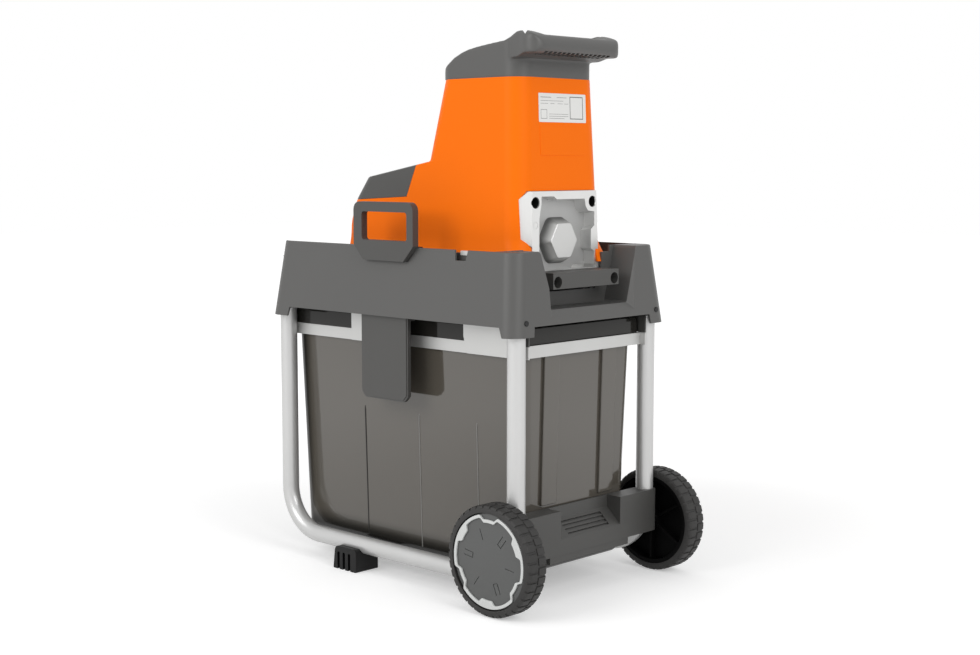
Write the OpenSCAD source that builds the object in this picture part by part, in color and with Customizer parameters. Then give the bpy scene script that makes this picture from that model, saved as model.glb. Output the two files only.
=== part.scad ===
// Garden shredder on two wheels: tube frame, drawer box under a flared deck,
// hopper with motor hump, gear-driven cutting drum. Millimetres, +Z up.
// +X is the latch side, +Y the wheel side; the origin is on the floor under the middle.

/* [Frame] */
// Outer diameter of the frame tubes
tube_d = 30; // [26:0.5:34]
// Wall of the frame tubes
tube_wall = 1.5; // [1:0.1:2.5]
// Distance between left and right tube, centre to centre
track_w = 328; // [320:1:350]
// Distance between front and rear leg, centre to centre
track_l = 563; // [550:1:600]
// How far the legs sit behind the middle of the deck (negative is forward)
leg_shift = -2.5; // [-6:0.5:2]
// Height of the bottom run's centre line
run_z = 45; // [42:1:56]
// Centre line radius of the tube bends
bend_r = 80; // [60:1:95]
// Top edge height of the side rails
rail_z = 423; // [410:1:430]
// Height of the side rails
rail_h = 20; // [14:1:28]
// Thickness of rails and cross bar
rail_t = 3; // [2:0.5:4]
// Length of a foot along the tube
foot_l = 60; // [40:1:80]
// Width of a foot across the tube
foot_w = 52; // [40:1:60]
// Height of a foot
foot_h = 41; // [36:1:44]

/* [Wheels] */
// Diameter of the wheels
wheel_d = 180; // [160:1:200]
// Width of the wheels
wheel_w = 42; // [34:1:50]
// Gap between a tube and its wheel
wheel_gap = 4.5; // [3:0.5:10]
// Height of the tyre section
tyre_h = 12.5; // [11:0.5:22]
// Number of tread blocks round a tyre
tread_count = 30; // [16:1:40]
// Diameter of the axle
axle_d = 12; // [10:0.5:14]
// How far the axle sits in front of the rear legs
axle_fwd = 4; // [0:0.5:8]

/* [Deck] */
// Height of the skirt's lower edge
skirt_z = 456; // [453:1:464]
// How far the corner ears hang below the skirt
ear_drop = 16; // [8:1:24]
// Height of the deck's top rim
deck_top = 573; // [566:1:585]
// Deck ears past the tubes, sideways
ear_cover_x = 16; // [12:0.5:24]
// Deck ears past the tubes, lengthways
ear_cover_y = 6; // [5:0.5:14]
// Inward lean of the side walls from ear to rim
flare_x = 17; // [8:0.5:18]
// Inward lean of the end walls from ear to rim
flare_y = 13.5; // [8:0.5:18]
// Wall of the deck
deck_wall = 3.5; // [2.5:0.1:5]
// Radius of the deck's upright corners
deck_r = 27; // [18:1:34]
// Depth of the deck floor below the rim
floor_drop = 27; // [20:1:34]
// Height of the end pockets' floor above the skirt's edge
pocket_up = 23; // [15:1:30]
// Width of the end cut-outs at the rim
cut_top_w = 238; // [200:1:250]
// Width of the end cut-outs at the bottom
cut_low_w = 191; // [180:1:196]

/* [Latch slider] */
// Width of the loop handle
loop_w = 143; // [120:1:160]
// Height of the loop handle above its seat
loop_h = 98; // [86:1:110]
// Depth of the loop handle
loop_t = 24; // [18:0.5:28]
// Thickness of the loop's bars
loop_bar = 17; // [12:0.5:20]
// Middle of the loop behind the middle of the deck
loop_y = -6; // [-10:0.5:10]
// Width of the tongue
tongue_w = 115; // [90:1:120]
// Thickness of the tongue
tongue_t = 8; // [5:0.5:9]
// Height of the tongue's lower end
tongue_z = 313; // [290:1:340]

/* [Collection box] */
// Half width of the box below its rim
box_hx = 143; // [130:0.5:145]
// Height of the box floor
box_z = 42; // [40:1:80]
// Inward lean of the box walls
box_draft = 11; // [4:0.5:16]
// Wall of the box
box_wall = 2.5; // [2:0.1:4]
// Radius of the box corners
box_r = 25; // [15:1:32]

/* [Hopper] */
// Height of the seam between hopper body and collar
seam_z = 850; // [830:1:870]
// Width of the hopper at the seam
seam_w = 199; // [190:1:206]
// Length of the hopper at the seam
seam_l = 183; // [176:1:196]
// Upright corner radius of the hopper
hopper_r = 34; // [20:1:40]
// Outward lean of sides and rear from seam to deck
hopper_flare = 11.5; // [8:0.5:14]
// Outward lean of the front from seam to deck
hopper_slope = 63; // [50:1:80]
// Wall of the hopper body
hopper_wall = 3.5; // [2.5:0.1:4]
// Front face of the motor hump ahead of the deck's middle
hump_front = 188; // [184:1:200]
// Outward flare of the hopper's foot on the deck
foot_flare = 8; // [0:0.5:10]
// Wall of the hopper collar
collar_wall = 7; // [4:0.5:9]
// Reach of the push handle behind the seam
handle_reach = 48; // [30:1:54]
// Thickness of the push handle
handle_t = 30; // [24:1:36]

/* [Cutter] */
// Height of the drum axis
drum_z = 584; // [580:1:590]
// Outer diameter of the cutting drum
drum_d = 90; // [80:1:94]
// Length of the cutting drum
drum_l = 141; // [120:1:144]
// Number of blades on the drum
blade_count = 8; // [6:1:10]
// Diameter of the drum shaft
shaft_d = 22; // [18:0.5:26]
// Rim face of the cutter cover behind the deck's middle
cover_y = 235; // [234:0.5:238]
// Half width of the cutter cover
cover_hx = 79; // [77:0.5:82]
// Depth of the cutter cover
cover_t = 29; // [24:0.5:32]
// Across flats of the hexagonal boss
hex_af = 54; // [44:1:60]
// Half distance between the cover bolts
bolt_x = 71; // [69:0.5:72]
// Travel of the pressure plate
plate_travel = 4; // [2:0.5:4.5]
// Diameter of the adjusting screw
screw_d = 10; // [8:0.5:12]
// Diameter of the adjusting knob
knob_d = 46; // [36:1:54]

/* [Drive] */
// Teeth of the output gear
out_teeth = 60; // [56:1:62]
// Teeth of the idler pinion
pin_teeth = 12; // [11:1:14]
// Module of the output stage
out_module = 2; // [1.9:0.05:2.05]
// Teeth of the idler gear
idl_teeth = 64; // [60:1:66]
// Teeth of the motor pinion
mot_teeth = 10; // [9:1:12]
// Module of the motor stage
mot_module = 1.25; // [1.2:0.05:1.3]
// Height of the motor axis above the drum axis
motor_up = 41; // [38:0.5:46]
// Diameter of the stator
stator_d = 92; // [84:1:96]
// Length of the stator
stator_l = 64; // [50:1:66]

/* [Controls] */
// Side of a push button
button_w = 16; // [12:0.5:18]
// Travel of a push button
button_travel = 3; // [2:0.5:3.5]

/* [Hidden] */
$fn = 64;

// Clearances: running fit of a shaft, seat of a fixed piece, gap of a sliding piece, and a cut's overshoot
run_gap = 0.05;
seat_gap = 0.2;
slide_gap = 0.4;
eps = 1;

// Colours
dark_grey = [0.32, 0.32, 0.31];
orange = [0.95, 0.42, 0.05];
silver = [0.78, 0.79, 0.80];
smoke = [0.42, 0.41, 0.38];
black = [0.08, 0.08, 0.08];
steel = [0.60, 0.61, 0.63];

// Frame stations
tube_r = tube_d/2;
tube_x = track_w/2;
ear_z = skirt_z - ear_drop;
deck_foot_w = track_w + tube_d + 2*ear_cover_x;
deck_foot_l = track_l + tube_d + 2*ear_cover_y;
wheel_r = wheel_d/2;
mid_y = -(track_l/2 + leg_shift - axle_fwd + wheel_r - deck_foot_l/2)/2;
leg_fy = mid_y + leg_shift - track_l/2;
leg_ry = mid_y + leg_shift + track_l/2;
axle_y = leg_ry - axle_fwd;
axle_z = wheel_r;
rail_x1 = tube_x - tube_r - seat_gap/2;
rail_x0 = rail_x1 - rail_t;
rail_z0 = rail_z - rail_h;
foot_y = mid_y - 107;
wheel_x0 = tube_x + tube_r + wheel_gap;
wheel_x1 = wheel_x0 + wheel_w;

// Deck stations
floor_t = 4;
floor_z = deck_top - floor_drop;
leg_top = skirt_z + 14;
socket_r = tube_r + 4;
socket_z = skirt_z - 4;
pocket_z = skirt_z + pocket_up;
pocket_y = cover_y + 7;
unit_front = -36;
unit_hx = cover_hx + 9;
deck_screw_z = skirt_z + 6.5;
deck_screw_d = 5;
function deck_lean(z) = (z - ear_z)/(deck_top - ear_z);
function deck_hx(z) = deck_foot_w/2 - flare_x*deck_lean(z);
function deck_hy(z) = deck_foot_l/2 - flare_y*deck_lean(z);
deck_screw_y = mid_y + deck_hy(deck_screw_z) - 1;

// Latch stations
loop_seat_z = floor_z + 3;
loop_x1 = deck_hx(loop_seat_z) + 9;
loop_x0 = loop_x1 - loop_t;
loop_mid = mid_y + loop_y;
loop_low_w = 99;
loop_shoulder = 28;
stem_x1 = loop_x0 + tongue_t;
tongue_x1 = deck_hx(skirt_z) - deck_wall - 5.5;
tongue_y0 = loop_mid - tongue_w/2 - 1;
tongue_y1 = tongue_y0 + tongue_w;
jog_z = skirt_z + 6;

// Box stations
box_rim_hx = rail_x1 - 0.4;
box_rim_z0 = rail_z + seat_gap;
box_rim_z1 = skirt_z - 6;
box_lip = 5;
box_overhang = 2;
box_front = leg_fy - 4*box_overhang;
box_back = leg_ry - rail_t/2 - box_lip - box_overhang;

// Hopper stations
seam_back = mid_y + 221.5;
body_z = floor_z + seat_gap/2;
body_h = seam_z - body_z;
hump_r = 25;
flare_h = 42;
// Corners of the hump's front: height above the deck floor, setback from the front face
hump_face_h = 60;
hump_brow = [101, 14];
hump_edge = [141, 44];
hump_rise = 0.178;
hump_top_z = body_z + 175;
trim_low_z = 654;
trim_low_y = -27;
trim_top_y = -4.5;
trim_slope = 0.055;
function body_back(z) = seam_back + hopper_flare*(seam_z - z)/body_h;
function body_hx(z) = seam_w/2 + hopper_flare*(seam_z - z)/body_h;
hump_hx = body_hx(body_z);

// Cutter stations, all along Y
drum_r = drum_d/2;
cover_back = mid_y + cover_y;
unit_back = cover_back - cover_t;
wall_t = 8;
unit_in = 66;
unit_out = unit_in + wall_t;
unit_low = drum_z - 74;
unit_high = drum_z + 68;
drum_y0 = unit_back - 3 - drum_l;
plate_wall = 14;
unit_y0 = unit_back - 160;
bearing_w = 11;
rear_journal_d = shaft_d - 6;
front_journal_d = shaft_d - 2;
cover_z0 = drum_z - 46;
cover_z1 = drum_z + 82;
cover_floor = 8;
bolt_z = drum_z + 63.5;
bolt_d = 8;
bolt_head = 13;
bolt_sink = 17;
bar_hx = cover_hx + 3.5;
bar_z0 = unit_low;
bar_z1 = unit_low + 26;
bar_y1 = cover_back + 49;
bar_hole_d = 19;
bar_hole_z = bar_z0 + 11;
lug_y1 = cover_back + 3;
plate_t = 12;
plate_rest = drum_r + plate_travel + 0.5;
plate_h = 74;
adjust_y = drum_y0 + drum_l/2;
screw_tip = plate_rest + 4;
knob_x = hump_hx + foot_flare;
knob_t = 26;

// Drive stations
motor_z = drum_z + motor_up;
out_r = out_module*out_teeth/2;
pin_r = out_module*pin_teeth/2;
idl_r = mot_module*idl_teeth/2;
mot_r = mot_module*mot_teeth/2;
stage_out = out_r + pin_r;
stage_mot = idl_r + mot_r;
// The idler axis lies where the two centre distances meet, on the -X side
idler_up = (pow(stage_out, 2) - pow(stage_mot, 2) + pow(motor_up, 2))/(2*motor_up);
idler_x = -sqrt(pow(stage_out, 2) - pow(idler_up, 2));
idler_z = drum_z + idler_up;
case_wall = 5;
case_y0 = unit_y0 - 76;
case_plate = 8;
case_r_out = out_r + out_module + 2.5;
case_r_idl = idl_r + mot_module + 2.5;
out_y0 = unit_y0 - 28;
out_w = 18;
idl_y0 = case_y0 + 16;
idl_w = 11;
idler_d = 12;
motor_d = 12;
motor_wall = 3.2;
motor_y1 = case_y0 - seat_gap;
stator_r = stator_d/2;
stator_y1 = case_y0 - 18;
stator_y0 = stator_y1 - stator_l;
rotor_r = 26.5;
shield_y1 = stator_y0 - 14;
shield_t = 8;
motor_bearing_d = 28;
fan_y1 = shield_y1 - shield_t - 4;
fan_w = 10;
fan_r = 36;
capacitor_d = 35;
capacitor_l = 70;

// Control stations
panel_y = mid_y - hump_front;
panel_hx = 54;
panel_z0 = body_z + 16;
panel_h = 42;
panel_z = panel_z0 + panel_h/2;
panel_rim = 5;
panel_t = 2;
panel_deep = 23;
start_x = -38;
stop_x = -14;
rocker_x = 9;
rocker_w = 14;
rocker_r = 8;
inlet_x = 34;
inlet_w = 22;
inlet_h = 30;

// Thin discs at the four corners of a rounded rectangle, for hulls
module corner_discs(hx, y0, y1, r, z) {
    for (x = [r - hx, hx - r], y = [y0 + r, y1 - r])
        translate([x, y, z]) cylinder(r = r, h = 0.01, $fn = 32);
}

// Rounded block between two levels, each given as [half width, front y, back y, corner radius, z]
module block(low, high) {
    hull() {
        corner_discs(low[0], low[1], low[2], low[3], low[4]);
        corner_discs(high[0], high[1], high[2], high[3], high[4]);
    }
}

// Upright rounded block with straight sides
module straight_block(hx, y0, y1, r, z0, z1) {
    box([-hx + r, y0, z0], [hx - r, y1, z1]);
    box([-hx, y0 + r, z0], [hx, y1 - r, z1]);
    for (x = [r - hx, hx - r], y = [y0 + r, y1 - r])
        translate([x, y, z0]) cylinder(r = r, h = z1 - z0);
}

// Cylinder along +Y from y0 to y1
module bar_y(x, z, r, y0, y1) {
    translate([x, y0, z]) rotate([-90, 0, 0]) cylinder(r = r, h = y1 - y0);
}

// Ring along +Y
module ring_y(x, z, r_out, r_in, y0, y1) {
    difference() {
        bar_y(x, z, r_out, y0, y1);
        bar_y(x, z, r_in, y0 - eps, y1 + eps);
    }
}

// Cylinder along +X from x0 to x1
module bar_x(y, z, r, x0, x1) {
    translate([x0, y, z]) rotate([0, 90, 0]) cylinder(r = r, h = x1 - x0);
}

// Outline in Y and Z, as points [y, z], extruded from x0 to x1
module side_slab(points, x0, x1) {
    translate([x0, 0, 0]) rotate([90, 0, 90]) linear_extrude(x1 - x0) polygon(points);
}

// Outline in X and Z, as points [x, z], extruded from y0 to y1
module front_slab(points, y0, y1) {
    translate([0, y1, 0]) rotate([90, 0, 0]) linear_extrude(y1 - y0) polygon(points);
}

// Box between two corners
module box(low, high) {
    translate(low) cube(high - low);
}

// Flat outline of a spur gear with straight-sided teeth, tooth 0 turned by turn degrees
module gear_outline(teeth, module_mm, turn) {
    pitch = 360/teeth;
    root = module_mm*(teeth/2 - 1.2);
    tip = module_mm*(teeth/2 + 0.85);
    polygon([for (i = [0:teeth - 1]) for (corner = [[root, -0.27], [tip, -0.10], [tip, 0.10], [root, 0.27]])
        let (a = turn + pitch*(i + corner[1])) [corner[0]*cos(a), corner[0]*sin(a)]]);
}

// Spur gear along +Y at (x, z); turn is measured from +X towards +Z
module gear_y(x, z, teeth, module_mm, turn, y0, y1, bore_r) {
    difference() {
        translate([x, y1, z]) rotate([90, 0, 0]) linear_extrude(y1 - y0)
            gear_outline(teeth, module_mm, turn);
        bar_y(x, z, bore_r, y0 - eps, y1 + eps);
    }
}

// Frame

// Solid along one tube's centre line; extra lengthens the leg tops
module tube_path(r, extra) {
    leg = leg_top - run_z - bend_r + extra;
    for (y = [leg_fy, leg_ry])
        translate([tube_x, y, run_z + bend_r]) cylinder(r = r, h = leg);
    bar_y(tube_x, run_z, r, leg_fy + bend_r, leg_ry - bend_r);
    translate([tube_x, leg_ry - bend_r, run_z + bend_r]) rotate([0, 90, 0])
        rotate_extrude(angle = 90) translate([bend_r, 0]) circle(r);
    translate([tube_x, leg_fy + bend_r, run_z + bend_r]) rotate([0, 90, 0]) rotate([0, 0, -90])
        rotate_extrude(angle = 90) translate([bend_r, 0]) circle(r);
}

// Bores of the deck screws in both legs of one tube
module leg_screw_bores(d) {
    bar_y(tube_x, deck_screw_z, d/2, leg_ry, leg_ry + 2*tube_r);
    bar_y(tube_x, deck_screw_z, d/2, leg_fy - 2*tube_r, leg_fy);
}

module frame_tube() {
    color(silver) difference() {
        tube_path(tube_r, 0);
        tube_path(tube_r - tube_wall, eps);
        bar_x(axle_y, axle_z, axle_d/2 + seat_gap, 0, wheel_x0);
        leg_screw_bores(deck_screw_d + 2*seat_gap);
    }
}
module frame_tube_right() { frame_tube(); }
module frame_tube_left() { mirror([1, 0, 0]) frame_tube(); }

// Flat strip between the legs with two plates that hang it from the deck floor
module side_rail() {
    plate_x = rail_x1 + 2.5;
    plate_top = floor_z - floor_t - seat_gap/2;
    front_plate = [mid_y - 127, mid_y - 80];
    rear_plate = [mid_y + 157, leg_ry - tube_r - 4];
    plate_lean = 8;
    color(silver) union() {
        box([rail_x0, leg_fy, rail_z0], [rail_x1, leg_ry, rail_z]);
        box([rail_x1, front_plate[0], rail_z0], [plate_x, front_plate[1], plate_top]);
        side_slab([[rear_plate[0], rail_z0], [rear_plate[1], rail_z0], [rear_plate[1], plate_top],
            [rear_plate[0] - plate_lean, plate_top], [rear_plate[0] - plate_lean, rail_z + plate_lean]],
            rail_x1, plate_x);
    }
}
module side_rail_right() { side_rail(); }
module side_rail_left() { mirror([1, 0, 0]) side_rail(); }

module rear_bar() {
    bar_hx = rail_x0 - seat_gap;
    color(silver) box([-bar_hx, leg_ry - rail_t/2, rail_z0], [bar_hx, leg_ry + rail_t/2, rail_z]);
}

// Saddle foot with three grip slots in its outer side
module foot() {
    foot_lean = 5;
    slot_w = 6;
    slot_deep = 4;
    foot_x1 = tube_x + foot_w/2;
    color(black) difference() {
        side_slab([[foot_y - foot_l/2, 0], [foot_y + foot_l/2, 0], [foot_y + foot_l/2, foot_h],
            [foot_y - foot_l/2 + foot_lean, foot_h]], tube_x - foot_w/2, foot_x1);
        bar_y(tube_x, run_z, tube_r + seat_gap/2, foot_y - foot_l, foot_y + foot_l);
        for (i = [-1:1])
            box([foot_x1 - slot_deep, foot_y + (i*2.4 - 0.5)*slot_w, foot_h*0.2],
                [foot_x1 + eps, foot_y + (i*2.4 + 0.5)*slot_w, foot_h*0.8]);
    }
}
module foot_right() { foot(); }
module foot_left() { mirror([1, 0, 0]) foot(); }

// Step between the rear legs: end sockets round the legs, sloped tread, bore for the axle
module axle_carrier() {
    end_hx = wheel_x0 - 2.5;
    back = leg_ry + tube_r + 3;
    front = leg_ry - tube_r;
    top = axle_z + 60;
    low = axle_z - 13;
    step_hx = 76;
    lip_hx = 100;
    lip_z = axle_z - 25;
    tread_front = front + 4;
    tread_z0 = axle_z + 40;
    tread_z1 = axle_z + 12;
    color(dark_grey) difference() {
        union() {
            straight_block(end_hx, front, back, 14, low, top);
            box([-lip_hx, front + 2, lip_z], [lip_hx, back - 2, low + eps]);
        }
        side_slab([[tread_front, top + eps], [tread_front, tread_z0], [back + eps, tread_z1],
            [back + eps, top + eps]], -step_hx, step_hx);
        for (side = [0, 1]) mirror([side, 0, 0]) tube_path(tube_r + seat_gap/2, eps);
        bar_x(axle_y, axle_z, axle_d/2 + run_gap, -wheel_x1, wheel_x1);
    }
}

module axle() {
    color(steel) bar_x(axle_y, axle_z, axle_d/2, -(wheel_x1 - 9), wheel_x1 - 9);
}

module axle_clips() {
    clip_x0 = wheel_x1 - 13.5;
    clip_r = axle_d/2 + 3;
    color(steel) for (side = [0, 1]) mirror([side, 0, 0]) difference() {
        bar_x(axle_y, axle_z, clip_r, clip_x0, clip_x0 + 2.5);
        bar_x(axle_y, axle_z, axle_d/2 + run_gap, 0, wheel_x1);
    }
}

// Wheels

rim_r = wheel_r - tyre_h - seat_gap/2;
cap_x0 = wheel_x1 - 7.5;
cap_x1 = wheel_x1 - 3;

// Revolves an outline of points [radius, x] about the axle
module on_axle(points) {
    translate([0, axle_y, axle_z]) rotate([0, 90, 0]) rotate_extrude() polygon(points);
}

// Tyre with shoulder chamfers and blocks cut round its tread
module tyre() {
    shoulder = 5;
    groove = 3;
    groove_w = 5;
    color(black) difference() {
        on_axle([[wheel_r - tyre_h, wheel_x0], [wheel_r - shoulder, wheel_x0], [wheel_r, wheel_x0 + shoulder],
            [wheel_r, wheel_x1 - shoulder], [wheel_r - shoulder, wheel_x1], [wheel_r - tyre_h, wheel_x1]]);
        for (i = [0:tread_count - 1]) translate([0, axle_y, axle_z]) rotate([360*(i + 0.5)/tread_count, 0, 0])
            translate([i % 2 == 0 ? wheel_x0 - eps : wheel_x1 - wheel_w*0.38, -groove_w/2, wheel_r - groove])
                cube([wheel_w*0.38 + eps, groove_w, groove + eps]);
    }
}

// Hub: rim, web, boss with bore, and spokes on the inner side
module hub() {
    boss_r = 16;
    rim_t = 7;
    web_x0 = wheel_x0 + 16;
    web_x1 = web_x0 + 5;
    spoke_t = 4;
    spoke_count = 6;
    color(black) difference() {
        union() {
            on_axle([[rim_r - rim_t, wheel_x0 + 1], [rim_r, wheel_x0 + 1], [rim_r, cap_x0], [rim_r - rim_t, cap_x0]]);
            on_axle([[boss_r - 4, web_x0], [rim_r - rim_t/2, web_x0], [rim_r - rim_t/2, web_x1], [boss_r - 4, web_x1]]);
            bar_x(axle_y, axle_z, boss_r, wheel_x0 + 1, wheel_x1 - 14);
            for (i = [0:spoke_count - 1]) translate([0, axle_y, axle_z]) rotate([360*i/spoke_count, 0, 0])
                translate([wheel_x0 + 5, -spoke_t/2, boss_r - 3])
                    cube([web_x0 + eps - wheel_x0 - 5, spoke_t, rim_r - rim_t/2 - boss_r + 3]);
        }
        bar_x(axle_y, axle_z, axle_d/2 + run_gap, 0, wheel_x1 + eps);
    }
}

// Closed outer face with six radial marks
module hub_cap() {
    mark_w = 3;
    mark_l = 18;
    mark_r = 34;
    mark_deep = 1;
    color(dark_grey) difference() {
        bar_x(axle_y, axle_z, rim_r - 0.3, cap_x0, cap_x1);
        for (i = [0:5]) translate([0, axle_y, axle_z]) rotate([360*i/6 - 30, 0, 0])
            translate([cap_x1 - mark_deep, -mark_w/2, mark_r]) cube([mark_deep + eps, mark_w, mark_l]);
    }
}

// Wavy ring on the cap: three dips, three thick pads between them
module hub_ring() {
    ring_r = rim_r - 1.5;
    dip = 7;
    thin = 6;
    thick = 13;
    first_dip = 90;
    steps = 120;
    function near(a, width) = pow(max(0, cos(3*a)), width);
    function outer(a) = ring_r - dip*near(a - first_dip, 3);
    function inner(a) = ring_r - thin - dip*near(a - first_dip, 2) - (thick - thin)*near(a - first_dip - 60, 6);
    function at(r, a) = [r*cos(a), r*sin(a)];
    color(silver) translate([cap_x1, axle_y, axle_z]) rotate([90, 0, 90]) linear_extrude(wheel_x1 - cap_x1 - 0.5)
        difference() {
            polygon([for (i = [0:steps - 1]) at(outer(360*i/steps), 360*i/steps)]);
            polygon([for (i = [0:steps - 1]) at(inner(360*i/steps), 360*i/steps)]);
        }
}

module tyre_right() { tyre(); }
module hub_right() { hub(); }
module hub_cap_right() { hub_cap(); }
module hub_ring_right() { hub_ring(); }
module tyre_left() { mirror([1, 0, 0]) tyre(); }
module hub_left() { mirror([1, 0, 0]) hub(); }
module hub_cap_left() { mirror([1, 0, 0]) hub_cap(); }
module hub_ring_left() { mirror([1, 0, 0]) hub_ring(); }

// Collection box: tapered drawer whose rim slides on the side rails, with a pull ledge in front
module collection_box() {
    rim_r0 = box_r + 3;
    pull_hx = 60;
    color(smoke) difference() {
        union() {
            block([box_hx - box_draft, box_front + box_draft, box_back - box_draft, box_r, box_z],
                [box_hx, box_front, box_back, box_r, box_rim_z0 + eps]);
            straight_block(box_rim_hx, box_front - box_lip, box_back + box_lip, rim_r0, box_rim_z0, box_rim_z1);
            box([-pull_hx, box_front - 10, box_rim_z0 - 22], [pull_hx, box_front + eps, box_rim_z0 - 16]);
        }
        block([box_hx - box_draft - box_wall, box_front + box_draft + box_wall, box_back - box_draft - box_wall,
            box_r - box_wall, box_z + box_wall],
            [box_hx - box_wall, box_front + box_wall, box_back - box_wall, box_r - box_wall, box_rim_z1 + eps]);
    }
}

// Deck

// Solid of the tapered deck between two heights, inset from the outside
module deck_block(inset, z0, z1) {
    r = deck_r - inset;
    hy0 = deck_hy(z0) - inset;
    hy1 = deck_hy(z1) - inset;
    block([deck_hx(z0) - inset, mid_y - hy0, mid_y + hy0, r, z0], [deck_hx(z1) - inset, mid_y - hy1, mid_y + hy1, r, z1]);
}

// Trapezoid of an end cut-out, points [x, z], grown by g
function cut_outline(g) = [[-cut_low_w/2 - g, pocket_z - g], [cut_low_w/2 + g, pocket_z - g],
    [cut_top_w/2 + g, deck_top + eps], [-cut_top_w/2 - g, deck_top + eps]];

// Runs children at the rear end and, turned, at the front end of the deck
module both_ends() {
    children();
    translate([0, 2*mid_y, 0]) mirror([0, 1, 0]) children();
}

// What stays inside the hollow under the deck floor
module deck_inside() {
    for (x = [-tube_x, tube_x], y = [leg_fy, leg_ry])
        translate([x, y, socket_z]) cylinder(r = socket_r, h = floor_z - socket_z);
    both_ends() front_slab(cut_outline(deck_wall), mid_y + pocket_y - deck_wall, mid_y + deck_hy(pocket_z));
    for (y = [tongue_y0 - slide_gap - deck_wall, tongue_y1 + slide_gap])
        box([loop_x0 - 4, y, skirt_z + 2], [deck_hx(skirt_z), y + deck_wall, floor_z]);
}

// Opening for the latch slider in the right wall and in the floor
module latch_opening() {
    g = slide_gap;
    low = loop_low_w/2 + g;
    top = loop_w/2 + 6 + g;
    side_slab([[loop_mid - low, loop_seat_z - g], [loop_mid + low, loop_seat_z - g],
        [loop_mid + top, loop_seat_z + loop_shoulder], [loop_mid + top, deck_top + eps],
        [loop_mid - top, deck_top + eps], [loop_mid - top, loop_seat_z + loop_shoulder]],
        loop_x0 - g, loop_x1 + 20);
    box([loop_x0 - g, tongue_y0 - g, floor_z - floor_t - eps], [stem_x1 + g, tongue_y1 + g, floor_z + 10]);
}

module deck() {
    notch_y = mid_y + 157;
    notch_w = 29;
    notch_deep = 17;
    color(dark_grey) difference() {
        deck_block(0, ear_z, deck_top);
        difference() {
            deck_block(deck_wall, ear_z - eps, floor_z - floor_t);
            deck_inside();
        }
        deck_block(deck_wall, floor_z, deck_top + eps);
        both_ends() front_slab(cut_outline(0), mid_y + pocket_y, mid_y + deck_foot_l);
        box([-unit_hx, mid_y + unit_front, floor_z - floor_t - eps], [unit_hx, mid_y + pocket_y + eps, deck_top + eps]);
        box([-unit_hx, mid_y + pocket_y - deck_wall - eps, bar_z0 - 8], [unit_hx, mid_y + pocket_y + eps, deck_top]);
        box([-deck_foot_w, leg_fy + 8, ear_z - eps], [deck_foot_w, leg_ry - 8, skirt_z]);
        box([-tube_x + tube_r, -deck_foot_l, ear_z - eps], [tube_x - tube_r, deck_foot_l, skirt_z]);
        for (x = [-tube_x, tube_x], y = [leg_fy, leg_ry])
            translate([x, y, ear_z - eps]) cylinder(r = tube_r + seat_gap/2, h = leg_top - ear_z + eps + seat_gap);
        for (side = [0, 1]) mirror([side, 0, 0]) {
            leg_screw_bores(deck_screw_d + 2*seat_gap);
            both_ends() bar_y(tube_x, deck_screw_z, deck_screw_d, deck_screw_y, deck_screw_y + 20);
        }
        latch_opening();
        box([deck_hx(deck_top) - 3*deck_wall, notch_y, deck_top - notch_deep], [deck_foot_w, notch_y + notch_w, deck_top + eps]);
    }
}

// Pan-head screws that hold the deck's ears on the legs
module deck_screws() {
    head_d = 1.8*deck_screw_d;
    head_t = 2.4;
    head_y = deck_screw_y + seat_gap/2;
    color(black) for (side = [0, 1]) mirror([side, 0, 0]) both_ends() {
        bar_y(tube_x, deck_screw_z, deck_screw_d/2, leg_ry + tube_r - 3.5, head_y);
        bar_y(tube_x, deck_screw_z, head_d/2, head_y, head_y + head_t);
    }
}

// One moulding: loop handle seated in the deck's notch, stem behind the skirt, tongue below it
module latch_slider() {
    low = loop_low_w/2;
    top = loop_w/2 + 6;
    half = loop_w/2;
    head_z = loop_seat_z + loop_h;
    cut = 12;
    sill = 35;
    toe = 14;
    color(dark_grey) difference() {
        union() {
            side_slab([[loop_mid - low, loop_seat_z], [loop_mid + low, loop_seat_z],
                [loop_mid + top, loop_seat_z + loop_shoulder - slide_gap], [loop_mid + half, loop_seat_z + sill],
                [loop_mid + half, head_z - cut], [loop_mid + half - cut, head_z],
                [loop_mid - half + cut, head_z], [loop_mid - half, head_z - cut],
                [loop_mid - half, loop_seat_z + sill], [loop_mid - top, loop_seat_z + loop_shoulder - slide_gap]],
                loop_x0, loop_x1);
            box([loop_x0, tongue_y0, jog_z - 12], [stem_x1, tongue_y1, loop_seat_z + 10]);
            box([loop_x0, tongue_y0, jog_z - 12], [tongue_x1, tongue_y1, jog_z]);
            side_slab([[tongue_y0 + toe, tongue_z], [tongue_y1 - toe, tongue_z], [tongue_y1, tongue_z + toe],
                [tongue_y1, jog_z], [tongue_y0, jog_z], [tongue_y0, tongue_z + toe]], tongue_x1 - tongue_t, tongue_x1);
        }
        box([loop_x0 - eps, loop_mid - half + loop_bar, loop_seat_z + sill],
            [loop_x1 + eps, loop_mid + half - loop_bar, head_z - loop_bar]);
    }
}

// Hopper

// Points round a rounded rectangle at height z, with its own corner radius in front and behind
corner_steps = 8;
function section(hx, front, back, r_front, r_back, z) = [for (c = [0:3])
    let (r = c < 2 ? r_back : r_front, cx = c == 0 || c == 3 ? hx - r : r - hx, cy = c < 2 ? back - r : front + r)
    for (j = [0:corner_steps]) let (a = 90*(c + j/corner_steps)) [cx + r*cos(a), cy + r*sin(a), z]];

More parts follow.
